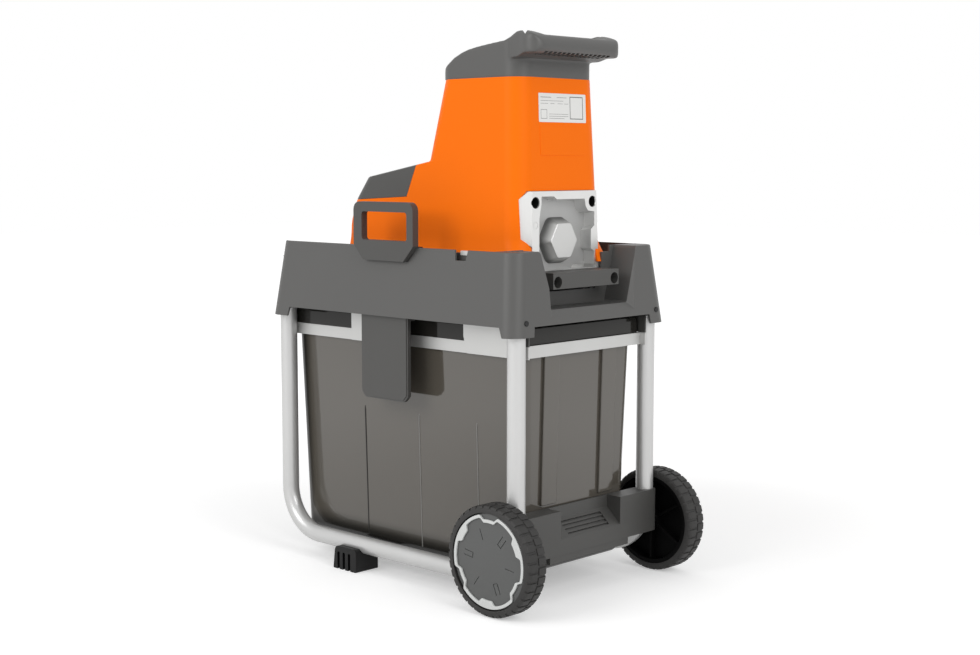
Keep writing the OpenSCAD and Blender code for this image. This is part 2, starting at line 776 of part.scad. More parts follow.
// Front of the hopper body from foot to seam, as [z, y, corner radius], for a skin inset from the outside.
// The hump's sloped top runs back until it meets the funnel's front wall.
function front_line(inset) = let (
    lean = hopper_slope/body_h,
    seam_front = seam_back - seam_l + inset,
    edge = [panel_y + hump_edge[1] + inset, body_z + hump_edge[0] - inset],
    meet_y = (seam_front - lean*(seam_z - edge[1] + hump_rise*edge[0]))/(1 - lean*hump_rise),
    meet_z = edge[1] + hump_rise*(meet_y - edge[0]),
    r = hump_r - inset)
    [[body_z, panel_y + inset, r], [body_z + flare_h/2, panel_y + inset, r], [body_z + flare_h, panel_y + inset, r],
        [body_z + hump_face_h, panel_y + inset, r],
        [body_z + hump_brow[0] - inset/2, panel_y + hump_brow[1] + inset, r],
        [edge[1], edge[0], r], [meet_z, meet_y, r], [seam_z, seam_front, hopper_r - inset]];

// Sections of the body's skin, foot to seam; the foot flares out at the sides and behind
function skin(inset) = [for (p = front_line(inset))
    let (flare = foot_flare*pow(max(0, 1 - (p[0] - body_z)/flare_h), 1.5))
    section(body_hx(p[0]) + flare - inset, p[1], body_back(p[0]) + flare - inset, p[2], hopper_r - inset, p[0])];

// Closed shell between the outer skin and the inner skin
module body_shell() {
    outer = skin(0);
    inner = skin(hopper_wall);
    rows = len(outer);
    n = len(outer[0]);
    function at(row, i) = row*n + i % n;
    side = [for (k = [0:rows - 2]) for (i = [0:n - 1]) each [
        [at(k, i), at(k + 1, i), at(k + 1, i + 1)], [at(k, i), at(k + 1, i + 1), at(k, i + 1)],
        [at(rows + k, i), at(rows + k + 1, i + 1), at(rows + k + 1, i)],
        [at(rows + k, i), at(rows + k, i + 1), at(rows + k + 1, i + 1)]]];
    top = rows - 1;
    rims = [for (i = [0:n - 1]) each [
        [at(top, i), at(rows + top, i), at(rows + top, i + 1)], [at(top, i), at(rows + top, i + 1), at(top, i + 1)],
        [at(0, i), at(rows, i + 1), at(rows, i)], [at(0, i), at(0, i + 1), at(rows, i + 1)]]];
    polyhedron([for (row = concat(outer, inner)) each row], concat(side, rims));
}

// Outline of the dark cover on the hump, points [y, z], shrunk by g
function trim_outline(g) = [[mid_y + trim_low_y - g, trim_low_z + g], [mid_y + trim_top_y + 5 - g, hump_top_z],
    [panel_y - 20, hump_top_z], [panel_y - 20, trim_low_z + g - trim_slope*(hump_front + trim_low_y + 20)]];

// Outline of the rear opening for the cutter cover, points [x, z]
function rear_outline(g) = [for (s = [-1, 1]) each let (p = [[cover_hx + g, body_z - eps], [cover_hx + g, cover_z0 + 32],
    [cover_hx + 17 + g, cover_z0 + 42], [cover_hx + 17 + g, cover_z1 - 18], [cover_hx + 4 + g, cover_z1 + g]])
    s > 0 ? [for (i = [4:-1:0]) p[i]] : [for (q = p) [-q[0], q[1]]]];

module hopper_body() {
    color(orange) difference() {
        body_shell();
        side_slab(trim_outline(0), -2*hump_hx, 2*hump_hx);
        front_slab(rear_outline(slide_gap), unit_back - 6, cover_back + 40);
        bar_x(adjust_y, drum_z, screw_d/2 + 1, -2*hump_hx, 0);
        box([-panel_hx + panel_rim - seat_gap, panel_y - eps, panel_z0 + panel_rim - seat_gap],
            [panel_hx - panel_rim + seat_gap, panel_y + 2*hump_r, panel_z0 + panel_h - panel_rim + seat_gap]);
    }
}

// Dark cover let into the top and front of the hump
module motor_cover() {
    color(dark_grey) intersection() {
        body_shell();
        side_slab(trim_outline(seat_gap), -2*hump_hx, 2*hump_hx);
    }
}

// Collar with a rim that rises to the rear and a push handle that reaches over the rear wall
module hopper_collar() {
    hx = seam_w/2 - 2;
    front = seam_back - seam_l + 2;
    mouth_back = seam_back - 2*collar_wall;
    back = seam_back + handle_reach;
    z0 = seam_z + seat_gap/2;
    rim_front = z0 + 20;
    rim_top = z0 + 72;
    handle_z1 = z0 + 65;
    handle_z0 = handle_z1 - handle_t;
    handle_hx = seam_w/2 + 9;
    handle_r = 20;
    horn = 14;
    rib_count = 9;
    rib_t = 3;
    color(dark_grey) difference() {
        union() {
            intersection() {
                side_slab([[front, z0], [seam_back, z0], [seam_back, rim_top], [seam_back - 15, rim_top - 6],
                    [seam_back - 30, rim_top - 13], [front + 67, z0 + 46], [front + 23, z0 + 28], [front, rim_front]], -hx, hx);
                straight_block(hx, front, seam_back, hopper_r - 2, z0, rim_top + eps);
            }
            intersection() {
                side_slab([[mouth_back, handle_z0 - 4], [back, handle_z0], [back, handle_z1 - 4], [back - 8, rim_top - 2],
                    [back - 23, rim_top], [back - 30, rim_top - 5], [back - 37, rim_top], [seam_back - 1, rim_top - 1],
                    [mouth_back, rim_top - 6]], -handle_hx, handle_hx);
                straight_block(handle_hx, mouth_back, back, handle_r, z0, rim_top + eps);
            }
        }
        straight_block(hx - collar_wall, front + collar_wall, mouth_back, hopper_r - collar_wall, z0 - eps, rim_top + eps);
        box([-hx + horn, mouth_back - eps, handle_z1], [hx - horn, back + eps, rim_top + eps]);
        for (i = [0:rib_count - 1]) translate([(i - (rib_count - 1)/2)*(2*hx - 40)/rib_count, 0, 0])
            box([-((2*hx - 40)/rib_count - rib_t)/2, seam_back + 7, handle_z0 - 5],
                [((2*hx - 40)/rib_count - rib_t)/2, back - 5, handle_z1 - 6]);
    }
}

// Funnel from the mouth down to the cutter, with a rim held under the collar
module feed_chute() {
    top = seam_z - seat_gap;
    low = unit_high + seat_gap;
    wall = 2.5;
    mouth_r = 8;
    top_level = [seam_w/2 - 14, seam_back - seam_l + 16, seam_back - 16, mouth_r];
    low_level = [unit_in - 6, drum_y0 + 4, unit_back - 4, mouth_r];
    rim = 6;
    rim_r = 26;
    function shrink(l, w) = [l[0] - w, l[1] + w, l[2] - w, l[3] - w];
    color(black) difference() {
        union() {
            block(concat(low_level, [low]), concat(top_level, [top]));
            straight_block(top_level[0] + rim, top_level[1] - rim, top_level[2] + rim, rim_r, top - 3, top);
        }
        block(concat(shrink(low_level, wall), [low - eps]), concat(shrink(top_level, wall), [top + eps]));
    }
}

// Blank plate on the rear wall, leaning with it
module rating_plate() {
    plate_w = 117;
    plate_high = 47;
    plate_thick = 0.8;
    plate_z = seam_z - 48.5;
    plate_x = -6.4;
    lean = atan(hopper_flare/body_h);
    color("white") translate([plate_x, body_back(plate_z) + plate_thick/2 + seat_gap/2, plate_z]) rotate([lean, 0, 0])
        cube([plate_w, plate_thick, plate_high], center = true);
}

// Cutter

// Outline round the output gear and the idler gear, grown by g
module case_block(g, y0, y1) {
    hull() {
        bar_y(0, drum_z, case_r_out + g, y0, y1, $fn = 32);
        bar_y(idler_x, idler_z, case_r_idl + g, y0, y1, $fn = 32);
    }
}

// Cast frame round the drum: two side walls, front wall that closes the gear case, base flange, rear lug
module cutter_housing() {
    flange_hx = unit_hx + 10;
    flange_t = 6;
    color(steel) difference() {
        union() {
            box([-unit_out, unit_y0, unit_low], [unit_out, unit_back, unit_high]);
            case_block(case_wall, unit_y0, unit_y0 + plate_wall);
            box([-flange_hx, unit_y0, body_z], [flange_hx, unit_back, body_z + flange_t]);
            box([-bar_hx, unit_back - 12, bar_z0], [bar_hx, lug_y1, bar_z1]);
            for (x = [-bolt_x, bolt_x]) bar_y(x, bolt_z, 9, unit_back - 20, unit_back);
        }
        box([-unit_in, unit_y0 + plate_wall, unit_low - eps], [unit_in, unit_back + eps, unit_high + eps]);
        bar_y(0, drum_z, 20 + run_gap, unit_y0 - eps, unit_y0 + plate_wall + eps);
        bar_y(idler_x, idler_z, idler_d/2 + 3 + run_gap, unit_y0 - eps, unit_y0 + bearing_w);
        bar_x(adjust_y, drum_z, screw_d/2 + run_gap, -unit_out - eps, 0);
        for (x = [-bolt_x, bolt_x]) {
            bar_y(x, bolt_z, bolt_d/2 + seat_gap, unit_back - 20 + 2, unit_back + eps);
            bar_y(x, bar_hole_z, bolt_d/2 + seat_gap, unit_back - 8, lug_y1 + eps);
        }
    }
}

// Cast rear cover: rim, recessed face, hexagonal boss over the rear bearing, bevelled wings
module cutter_cover() {
    rim = 11;
    wing = 16;
    boss_base = 40;
    face_y = unit_back + cover_floor;
    corner = 13;
    y0 = unit_back + seat_gap/2;
    color(silver) difference() {
        union() {
            difference() {
                union() {
                    box([-cover_hx, y0, cover_z0], [cover_hx, cover_back, cover_z1]);
                    intersection() {
                        translate([0, 0, cover_z0 + 33]) linear_extrude(cover_z1 - cover_z0 - 46)
                            polygon([[-cover_hx - wing, y0], [cover_hx + wing, y0], [cover_hx + wing, cover_back - wing],
                                [cover_hx, cover_back], [-cover_hx, cover_back], [-cover_hx - wing, cover_back - wing]]);
                        front_slab(rear_outline(0), y0 - eps, cover_back + eps);
                    }
                }
                box([-cover_hx + rim, face_y, cover_z0 - eps], [cover_hx - rim, cover_back + eps, cover_z1 - rim]);
            }
            for (x = [-bolt_x, bolt_x]) intersection() {
                bar_y(x, bolt_z, corner, y0, cover_back);
                box([-cover_hx, y0, cover_z0], [cover_hx, cover_back, cover_z1]);
            }
            translate([0, face_y - eps, drum_z]) rotate([-90, 0, 0])
                cylinder(r1 = boss_base, r2 = hex_af/2/cos(30), h = cover_back - face_y + eps, $fn = 6);
        }
        bar_y(0, drum_z, 16 + run_gap, y0 - eps, unit_back + bearing_w + 1);
        for (x = [-bolt_x, bolt_x]) {
            bar_y(x, bolt_z, bolt_d/2 + seat_gap, y0 - eps, cover_back + eps);
            bar_y(x, bolt_z, bolt_sink/2, face_y, cover_back + eps);
        }
        bar_y(-cover_hx*0.55, cover_z0, 12, y0 - eps, cover_back + eps);
    }
}

// Screw along Y with its head at y, shank towards the front
module head_screw(x, z, y, shank) {
    bar_y(x, z, bolt_head/2, y, y + 8);
    bar_y(x, z, bolt_d/2, y - shank, y);
}

module cover_bolts() {
    color(black) for (x = [-bolt_x, bolt_x]) head_screw(x, bolt_z, unit_back + cover_floor + seat_gap/2, cover_floor + 16);
}

module clamp_bar() {
    y0 = lug_y1 + seat_gap/2;
    color(dark_grey) difference() {
        box([-bar_hx, y0, bar_z0], [bar_hx, bar_y1, bar_z1]);
        for (x = [-bolt_x, bolt_x]) {
            bar_y(x, bar_hole_z, bar_hole_d/2, y0 + 10, bar_y1 + eps);
            bar_y(x, bar_hole_z, bolt_d/2 + seat_gap, y0 - eps, bar_y1);
        }
    }
}

module clamp_screws() {
    color(black) for (x = [-bolt_x, bolt_x]) head_screw(x, bar_hole_z, lug_y1 + 10 + seat_gap, 32);
}

// Toothed roller
module cutting_drum() {
    core = drum_r - 8;
    pitch = 360/blade_count;
    color(steel) difference() {
        translate([0, drum_y0 + drum_l, drum_z]) rotate([90, 0, 0]) linear_extrude(drum_l)
            polygon([for (i = [0:blade_count - 1]) for (p = [[core, 0.12], [drum_r, 0.44], [drum_r, 0.56], [core, 0.62]])
                let (a = pitch*(i + p[1])) [p[0]*cos(a), p[0]*sin(a)]]);
        bar_y(0, drum_z, shaft_d/2 + run_gap, drum_y0 - eps, drum_y0 + drum_l + eps);
    }
}

module drum_shaft() {
    color(steel) {
        bar_y(0, drum_z, shaft_d/2, unit_y0 + plate_wall, unit_back - 1);
        bar_y(0, drum_z, front_journal_d/2, out_y0 - 4, unit_y0 + plate_wall);
        bar_y(0, drum_z, rear_journal_d/2, unit_back - 1, unit_back + bearing_w);
    }
}

module drum_bearings() {
    color(steel) {
        ring_y(0, drum_z, 16, rear_journal_d/2 + run_gap, unit_back + seat_gap, unit_back + bearing_w);
        ring_y(0, drum_z, 20, front_journal_d/2 + run_gap, unit_y0 + 1, unit_y0 + plate_wall - 1);
    }
}

// Counter plate beside the drum, driven by the screw in its back
module pressure_plate() {
    color(silver) difference() {
        box([-plate_rest - plate_t, drum_y0 + 1, drum_z - plate_h/2], [-plate_rest, drum_y0 + drum_l - 1, drum_z + plate_h/2]);
        bar_x(adjust_y, drum_z, screw_d/2 + run_gap, -plate_rest - plate_t - eps, -screw_tip + 1.5);
    }
}

module adjuster_screw() {
    collar_r = screw_d/2 + 3;
    color(steel) {
        bar_x(adjust_y, drum_z, screw_d/2, -knob_x - knob_t/2, -screw_tip);
        bar_x(adjust_y, drum_z, collar_r, -unit_out - 5, -unit_out - seat_gap);
    }
}

module adjuster_knob() {
    lobes = 6;
    color(black) difference() {
        bar_x(adjust_y, drum_z, knob_d/2, -knob_x - knob_t, -knob_x);
        for (i = [0:lobes - 1]) let (a = 360*i/lobes)
            bar_x(adjust_y + (knob_d/2 + 4)*cos(a), drum_z + (knob_d/2 + 4)*sin(a), 8, -knob_x - knob_t - eps, -knob_x - 6);
        bar_x(adjust_y, drum_z, screw_d/2 + run_gap, -knob_x - knob_t/2, -knob_x + eps);
    }
}

// Drive

module gear_case() {
    color(steel) difference() {
        case_block(case_wall, case_y0, unit_y0 - seat_gap/2);
        case_block(0, case_y0 + case_plate, unit_y0 + eps);
        bar_y(0, motor_z, motor_bearing_d/2 + run_gap, case_y0 - eps, case_y0 + case_plate + eps);
        bar_y(idler_x, idler_z, idler_d/2 + 3 + run_gap, case_y0 + 2, case_y0 + case_plate + eps);
    }
}

// Directions from gear to gear, degrees from +X towards +Z, and a turn that sets tooth against gap
to_idler = atan2(idler_up, idler_x);
to_motor = atan2(motor_z - idler_z, -idler_x);
pin_turn = to_idler + 180 + 180/pin_teeth;
idl_turn = to_motor;
mot_turn = to_motor + 180 + 180/mot_teeth;

module output_gear() {
    color(steel) gear_y(0, drum_z, out_teeth, out_module, to_idler, out_y0, out_y0 + out_w, front_journal_d/2 + run_gap);
}

module idler_shaft() {
    hub_d = idler_d + 4;
    color(steel) {
        gear_y(idler_x, idler_z, pin_teeth, out_module, pin_turn, out_y0 - 1, out_y0 + out_w + 1, idler_d/2 - 1);
        bar_y(idler_x, idler_z, idler_d/2, case_y0 + 2 + seat_gap, unit_y0 + bearing_w - seat_gap);
        bar_y(idler_x, idler_z, hub_d/2, idl_y0 - 2, out_y0 - 1);
    }
}

module idler_gear() {
    color(steel) gear_y(idler_x, idler_z, idl_teeth, mot_module, idl_turn, idl_y0, idl_y0 + idl_w, idler_d/2 + 2 + run_gap);
}

module idler_bushes() {
    color([0.7, 0.55, 0.3]) {
        ring_y(idler_x, idler_z, idler_d/2 + 3, idler_d/2 + run_gap, case_y0 + 2 + seat_gap, case_y0 + case_plate);
        ring_y(idler_x, idler_z, idler_d/2 + 3, idler_d/2 + run_gap, unit_y0, unit_y0 + bearing_w - seat_gap);
    }
}

module motor_housing() {
    color(silver) ring_y(0, motor_z, stator_r + motor_wall, stator_r + seat_gap/2, shield_y1 + seat_gap/2, motor_y1);
}

module motor_end_shield() {
    color(silver) ring_y(0, motor_z, stator_r + motor_wall, motor_bearing_d/2 + run_gap, shield_y1 - shield_t, shield_y1);
}

module motor_stator() {
    color(steel) ring_y(0, motor_z, stator_r, rotor_r + 0.5, stator_y0, stator_y1);
}

module motor_windings() {
    color([0.72, 0.38, 0.18]) {
        ring_y(0, motor_z, stator_r - 4, rotor_r + 3, stator_y1 + seat_gap/2, stator_y1 + 10);
        ring_y(0, motor_z, stator_r - 4, rotor_r + 3, stator_y0 - 10, stator_y0 - seat_gap/2);
    }
}

module motor_rotor() {
    color(steel) ring_y(0, motor_z, rotor_r, motor_d/2 + run_gap, stator_y0 + 1, stator_y1 - 1);
}

module motor_shaft() {
    color(steel) {
        bar_y(0, motor_z, motor_d/2, fan_y1 - fan_w, idl_y0 - 1);
        gear_y(0, motor_z, mot_teeth, mot_module, mot_turn, idl_y0 - 1, idl_y0 + idl_w + 1, 1);
    }
}

module motor_bearings() {
    color(steel) {
        ring_y(0, motor_z, motor_bearing_d/2, motor_d/2 + run_gap, shield_y1 - shield_t, shield_y1);
        ring_y(0, motor_z, motor_bearing_d/2, motor_d/2 + run_gap, case_y0, case_y0 + case_plate);
    }
}

module cooling_fan() {
    fan_hub = 10;
    blades = 8;
    color(black) difference() {
        union() {
            bar_y(0, motor_z, fan_hub, fan_y1 - fan_w, fan_y1);
            bar_y(0, motor_z, fan_r, fan_y1 - 2, fan_y1);
            for (i = [0:blades - 1]) translate([0, fan_y1 - fan_w, motor_z]) rotate([0, 360*i/blades, 0])
                translate([-1, 0, fan_hub - 2]) cube([2, fan_w, fan_r - fan_hub + 1]);
        }
        bar_y(0, motor_z, motor_d/2 + run_gap, fan_y1 - fan_w - eps, fan_y1 + eps);
    }
}

module capacitor() {
    color([0.85, 0.85, 0.82])
        bar_y(-hump_hx + hopper_wall + capacitor_d/2 + 6, body_z + capacitor_d/2, capacitor_d/2, stator_y0, stator_y0 + capacitor_l);
}

// Controls, in the front face of the hump

module switch_panel() {
    hx = panel_hx - panel_rim;
    z0 = panel_z0 + panel_rim;
    z1 = panel_z0 + panel_h - panel_rim;
    face = panel_y - seat_gap/2;
    hole = button_w/2 + slide_gap;
    color(black) difference() {
        union() {
            box([-panel_hx, face - panel_t, panel_z0], [panel_hx, face, panel_z0 + panel_h]);
            box([-hx, face - eps, z0], [hx, face + panel_deep, z1]);
        }
        for (x = [start_x, stop_x])
            box([x - hole, face - panel_t - eps, panel_z - hole], [x + hole, face + panel_deep - 3, panel_z + hole]);
        bar_x(panel_y, panel_z, rocker_r + slide_gap, rocker_x - rocker_w/2 - slide_gap, rocker_x + rocker_w/2 + slide_gap);
        box([inlet_x - inlet_w/2 - seat_gap, face - panel_t - eps, panel_z - inlet_h/2 - seat_gap],
            [inlet_x + inlet_w/2 + seat_gap, face + panel_deep - 3, panel_z + inlet_h/2 + seat_gap]);
    }
}

// Square push button with a raised face
module push_button(x) {
    proud = 5;
    back = panel_y + panel_deep - 3 - button_travel - 1;
    box([x - button_w/2, panel_y - panel_t - proud, panel_z - button_w/2], [x + button_w/2, back, panel_z + button_w/2]);
}
module start_button() { color([0.1, 0.5, 0.2]) push_button(start_x); }
module stop_button() { color([0.75, 0.1, 0.08]) push_button(stop_x); }

// Drum-shaped rocker with a finger rib
module direction_rocker() {
    color(dark_grey) {
        bar_x(panel_y, panel_z, rocker_r, rocker_x - rocker_w/2, rocker_x + rocker_w/2);
        box([rocker_x - rocker_w/2, panel_y - rocker_r - 3, panel_z - 1.5], [rocker_x + rocker_w/2, panel_y, panel_z + 1.5]);
    }
}

// Recessed inlet with three flat pins
module inlet_socket() {
    wall = 3;
    face = panel_y - panel_t - seat_gap/2;
    floor_y = panel_y + panel_deep - 7;
    color(dark_grey) difference() {
        box([inlet_x - inlet_w/2, face, panel_z - inlet_h/2], [inlet_x + inlet_w/2, floor_y + wall, panel_z + inlet_h/2]);
        box([inlet_x - inlet_w/2 + wall, face - eps, panel_z - inlet_h/2 + wall],
            [inlet_x + inlet_w/2 - wall, floor_y, panel_z + inlet_h/2 - wall]);
    }
    color(steel) for (dz = [-7, 0, 7])
        box([inlet_x - 1, face + 6, panel_z + dz - 2], [inlet_x + 1, floor_y + eps, panel_z + dz + 2]);
}

frame_tube_right();
frame_tube_left();
side_rail_right();
side_rail_left();
rear_bar();
foot_right();
foot_left();
axle_carrier();
axle();
axle_clips();
tyre_right();
hub_right();
hub_cap_right();
hub_ring_right();
tyre_left();
hub_left();
hub_cap_left();
hub_ring_left();
collection_box();
deck();
deck_screws();
latch_slider();
hopper_body();
hopper_collar();
feed_chute();
motor_cover();
rating_plate();
cutter_housing();
cutter_cover();
cover_bolts();
clamp_bar();
clamp_screws();
cutting_drum();
drum_shaft();
drum_bearings();
pressure_plate();
adjuster_screw();
adjuster_knob();
gear_case();
output_gear();
idler_shaft();
idler_gear();
idler_bushes();
motor_housing();
motor_end_shield();
motor_stator();
motor_windings();
motor_rotor();
motor_shaft();
motor_bearings();
cooling_fan();
capacitor();
switch_panel();
start_button();
stop_button();
direction_rocker();
inlet_socket();
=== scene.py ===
import math
import bmesh
import bpy
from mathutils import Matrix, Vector


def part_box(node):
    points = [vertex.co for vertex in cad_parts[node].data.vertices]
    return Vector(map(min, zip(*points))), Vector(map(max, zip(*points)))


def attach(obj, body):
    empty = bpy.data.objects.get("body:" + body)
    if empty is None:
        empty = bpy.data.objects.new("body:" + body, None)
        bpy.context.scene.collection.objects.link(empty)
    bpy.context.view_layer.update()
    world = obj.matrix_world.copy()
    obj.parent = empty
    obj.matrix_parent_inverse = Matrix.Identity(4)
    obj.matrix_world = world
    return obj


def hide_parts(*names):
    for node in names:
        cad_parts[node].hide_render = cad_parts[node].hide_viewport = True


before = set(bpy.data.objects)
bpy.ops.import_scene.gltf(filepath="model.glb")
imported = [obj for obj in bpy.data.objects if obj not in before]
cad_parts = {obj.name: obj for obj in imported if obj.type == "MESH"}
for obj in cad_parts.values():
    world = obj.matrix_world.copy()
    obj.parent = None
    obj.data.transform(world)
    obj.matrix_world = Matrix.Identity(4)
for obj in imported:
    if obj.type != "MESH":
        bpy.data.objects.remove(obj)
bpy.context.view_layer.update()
MM = 0.001

# The studio: a white floor without edges, a soft white room, one large soft lamp on the latch side
# and a smaller one over the handle. The camera stands at the photograph's place, behind the latch side.
scene = bpy.context.scene
scene.view_settings.view_transform = "Standard"

camera_place = Vector((1.9619, 1.91135, 0.7164))
camera_target = Vector((-0.03232, 0.00249, 0.42211))
camera_data = bpy.data.cameras.new("camera")
camera_data.lens = 57.69
camera_data.sensor_fit = "HORIZONTAL"
camera_data.sensor_width = 36.0
camera = bpy.data.objects.new("camera", camera_data)
camera.location = camera_place
camera.rotation_euler = (camera_target - camera_place).to_track_quat("-Z", "Y").to_euler()
scene.collection.objects.link(camera)
scene.camera = camera


def feed(tree, made, inputs):
    """Gives each named input of a node its value, or links it to the output that feeds it."""
    for key, value in inputs.items():
        if isinstance(value, bpy.types.NodeSocket):
            tree.links.new(value, made.inputs[key])
        else:
            made.inputs[key].default_value = value
    return made


def wired(tree, kind, inputs=None, **settings):
    """Adds a node with its settings and feeds its inputs."""
    made = tree.nodes.new(kind)
    for key, value in settings.items():
        setattr(made, key, value)
    return feed(tree, made, inputs or {})


def seen_rays(tree):
    """Adds camera, glossy and transmission rays up to one number, 1 where any of them looks."""
    rays = wired(tree, "ShaderNodeLightPath").outputs
    seen = rays["Is Camera Ray"]
    for other in ("Is Glossy Ray", "Is Transmission Ray"):
        seen = wired(tree, "ShaderNodeMath", {0: seen, 1: rays[other]}, operation="MAXIMUM").outputs[0]
    return seen


room_light = 0.62
world = bpy.data.worlds.new("white room")
world.use_nodes = True
scene.world = world
room = world.node_tree
room_strength = wired(room, "ShaderNodeMapRange",
                      {"Value": seen_rays(room), "To Min": room_light, "To Max": 1.0}).outputs["Result"]
feed(room, room.nodes["Background"], {"Color": (1.0, 1.0, 1.0, 1.0), "Strength": room_strength})

floor_reach = 12.0
floor_albedo = 0.80
glow_near, glow_far = 0.36, 0.60
glow_start, glow_end = 0.6, 1.7
floor_mesh = bpy.data.meshes.new("floor")
floor_mesh.from_pydata([(x, y, 0.0) for x, y in ((-1, -1), (1, -1), (1, 1), (-1, 1))], [], [(0, 1, 2, 3)])
for corner in floor_mesh.vertices:
    corner.co *= floor_reach
floor = bpy.data.objects.new("floor", floor_mesh)
scene.collection.objects.link(floor)
floor_paper = bpy.data.materials.new("white paper")
floor_paper.use_nodes = True
paper = floor_paper.node_tree
paper.nodes.remove(paper.nodes["Principled BSDF"])
paper_place = wired(paper, "ShaderNodeTexCoord").outputs["Object"]
paper_reach = wired(paper, "ShaderNodeVectorMath", {0: paper_place}, operation="LENGTH").outputs["Value"]
paper_fade = wired(paper, "ShaderNodeMapRange", interpolation_type="SMOOTHSTEP")
feed(paper, paper_fade, {"Value": paper_reach, "From Min": glow_start, "From Max": glow_end,
                         "To Min": glow_near, "To Max": glow_far})
paper_strength = wired(paper, "ShaderNodeMath", {0: seen_rays(paper), 1: paper_fade.outputs["Result"]},
                       operation="MULTIPLY")
paper_diffuse = wired(paper, "ShaderNodeBsdfDiffuse", {"Color": (*[floor_albedo] * 3, 1.0)})
paper_glow = wired(paper, "ShaderNodeEmission", {"Strength": paper_strength.outputs[0]})
paper_sum = wired(paper, "ShaderNodeAddShader", {0: paper_diffuse.outputs[0], 1: paper_glow.outputs[0]})
feed(paper, paper.nodes["Material Output"], {"Surface": paper_sum.outputs[0]})
floor_mesh.materials.append(floor_paper)


def soft_lamp(name, place, aim, size, watts):
    """Places one square softbox that looks at a point."""
    data = bpy.data.lights.new(name, "AREA")
    data.shape = "SQUARE"
    data.size = size
    data.energy = watts
    lamp = bpy.data.objects.new(name, data)
    lamp.location = place
    lamp.rotation_euler = (Vector(aim) - Vector(place)).to_track_quat("-Z", "Y").to_euler()
    scene.collection.objects.link(lamp)


soft_lamp("key softbox", (3.4, -0.6, 2.2), (0.0, 0.0, 0.45), 2.2, 56.0)
soft_lamp("rear softbox", (0.6, 3.6, 2.4), (0.0, 0.0, 0.5), 1.8, 50.0)


# Frame tubes: two legs and the bottom run bent from one length of round aluminium tube each,
# satin finished. The tops sit in the deck's sockets, and the feet and the axle carrier clamp round them.
def material(name, colour, roughness, metal=0.0, grain=0.0, grain_size=1.5, mottle=0.0, mottle_size=60.0,
             coat=0.0, coat_roughness=0.12, specular=0.5):
    """Makes a finish with a fine surface grain and a broad, faint change of tone; sizes in millimetres."""
    made = bpy.data.materials.new(name)
    made.use_nodes = True
    tree = made.node_tree
    shader = tree.nodes["Principled BSDF"]
    place = wired(tree, "ShaderNodeTexCoord").outputs["Object"]
    broad = wired(tree, "ShaderNodeTexNoise",
                  {"Vector": place, "Scale": 1.0 / (mottle_size * MM), "Detail": 3.0})
    darker = (*[c * (1.0 - mottle) for c in colour], 1.0)
    lighter = (*[min(1.0, c * (1.0 + mottle)) for c in colour], 1.0)
    tone = wired(tree, "ShaderNodeMix", {"Factor": broad.outputs["Fac"], "A": darker, "B": lighter},
                 data_type="RGBA")
    fine = wired(tree, "ShaderNodeTexNoise",
                 {"Vector": place, "Scale": 1.0 / (grain_size * MM), "Detail": 2.0}).outputs["Fac"]
    gloss = wired(tree, "ShaderNodeMapRange", {"Value": fine, "To Min": roughness * 0.88,
                                               "To Max": min(1.0, roughness * 1.12)})
    bump = wired(tree, "ShaderNodeBump", {"Height": fine, "Strength": grain, "Distance": 0.2 * MM})
    feed(tree, shader, {"Metallic": metal, "Coat Weight": coat, "Coat Roughness": coat_roughness,
                        "Specular IOR Level": specular, "Base Color": tone.outputs["Result"],
                        "Roughness": gloss.outputs["Result"], "Normal": bump.outputs["Normal"]})
    return made


def baked(piece):
    """Turns a piece with modifiers into a plain mesh."""
    graph = bpy.context.evaluated_depsgraph_get()
    mesh = bpy.data.meshes.new_from_object(piece.evaluated_get(graph))
    piece.modifiers.clear()
    piece.data = mesh
    return piece


def piece_from(name, bm):
    """Makes an object at the origin from a bmesh, with its doubles merged and its faces outwards."""
    bmesh.ops.remove_doubles(bm, verts=bm.verts, dist=0.002 * MM)
    bmesh.ops.delete(bm, geom=[e for e in bm.edges if not e.link_faces], context="EDGES")
    bmesh.ops.recalc_face_normals(bm, faces=bm.faces)
    mesh = bpy.data.meshes.new(name)
    bm.to_mesh(mesh)
    bm.free()
    piece = bpy.data.objects.new(name, mesh)
    scene.collection.objects.link(piece)
    return piece


def rounded_edges(piece, width, segments=2, angle=32.0):
    """Bevels every edge sharper than the angle and keeps the flat faces flat in the shading."""
    if width > 0.0:
        bevel = piece.modifiers.new("edge", "BEVEL")
        bevel.width = width * MM
        bevel.segments = segments
        bevel.limit_method = "ANGLE"
        bevel.angle_limit = math.radians(angle)
        bevel.miter_outer = "MITER_ARC"
        baked(piece)
    piece.data.shade_smooth()
    piece.data.set_sharp_from_angle(angle=math.radians(angle + 12.0))
    normals = piece.modifiers.new("flat faces", "WEIGHTED_NORMAL")
    normals.keep_sharp = True
    normals.weight = 80
    return baked(piece)


def fitted(piece, finish, body, slot, *nodes):
    """Gives a piece its finish and its body, and hides the solids that it stands for; the slot is not used.
    """
    piece.data.materials.clear()
    piece.data.materials.append(finish)
    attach(piece, body)
    if nodes:
        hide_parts(*nodes)
    return piece


def arc(centre, radius, start, end, steps):
    """Points on a round stretch, angles in degrees."""
    turns = [math.radians(start + (end - start) * k / steps) for k in range(steps + 1)]
    return [(centre[0] + radius * math.cos(t), centre[1] + radius * math.sin(t)) for t in turns]


def loft(rows, close_ends=True):
    """Skins rows of points, each a closed ring of the same count."""
    bm = bmesh.new()
    rings = [[bm.verts.new(p) for p in row] for row in rows]
    count = len(rings[0])
    for low, high in zip(rings, rings[1:]):
        for k in range(count):
            bm.faces.new((low[k], low[(k + 1) % count], high[(k + 1) % count], high[k]))
    if close_ends:
        bm.faces.new(list(reversed(rings[0])))
        bm.faces.new(rings[-1])
    return bm


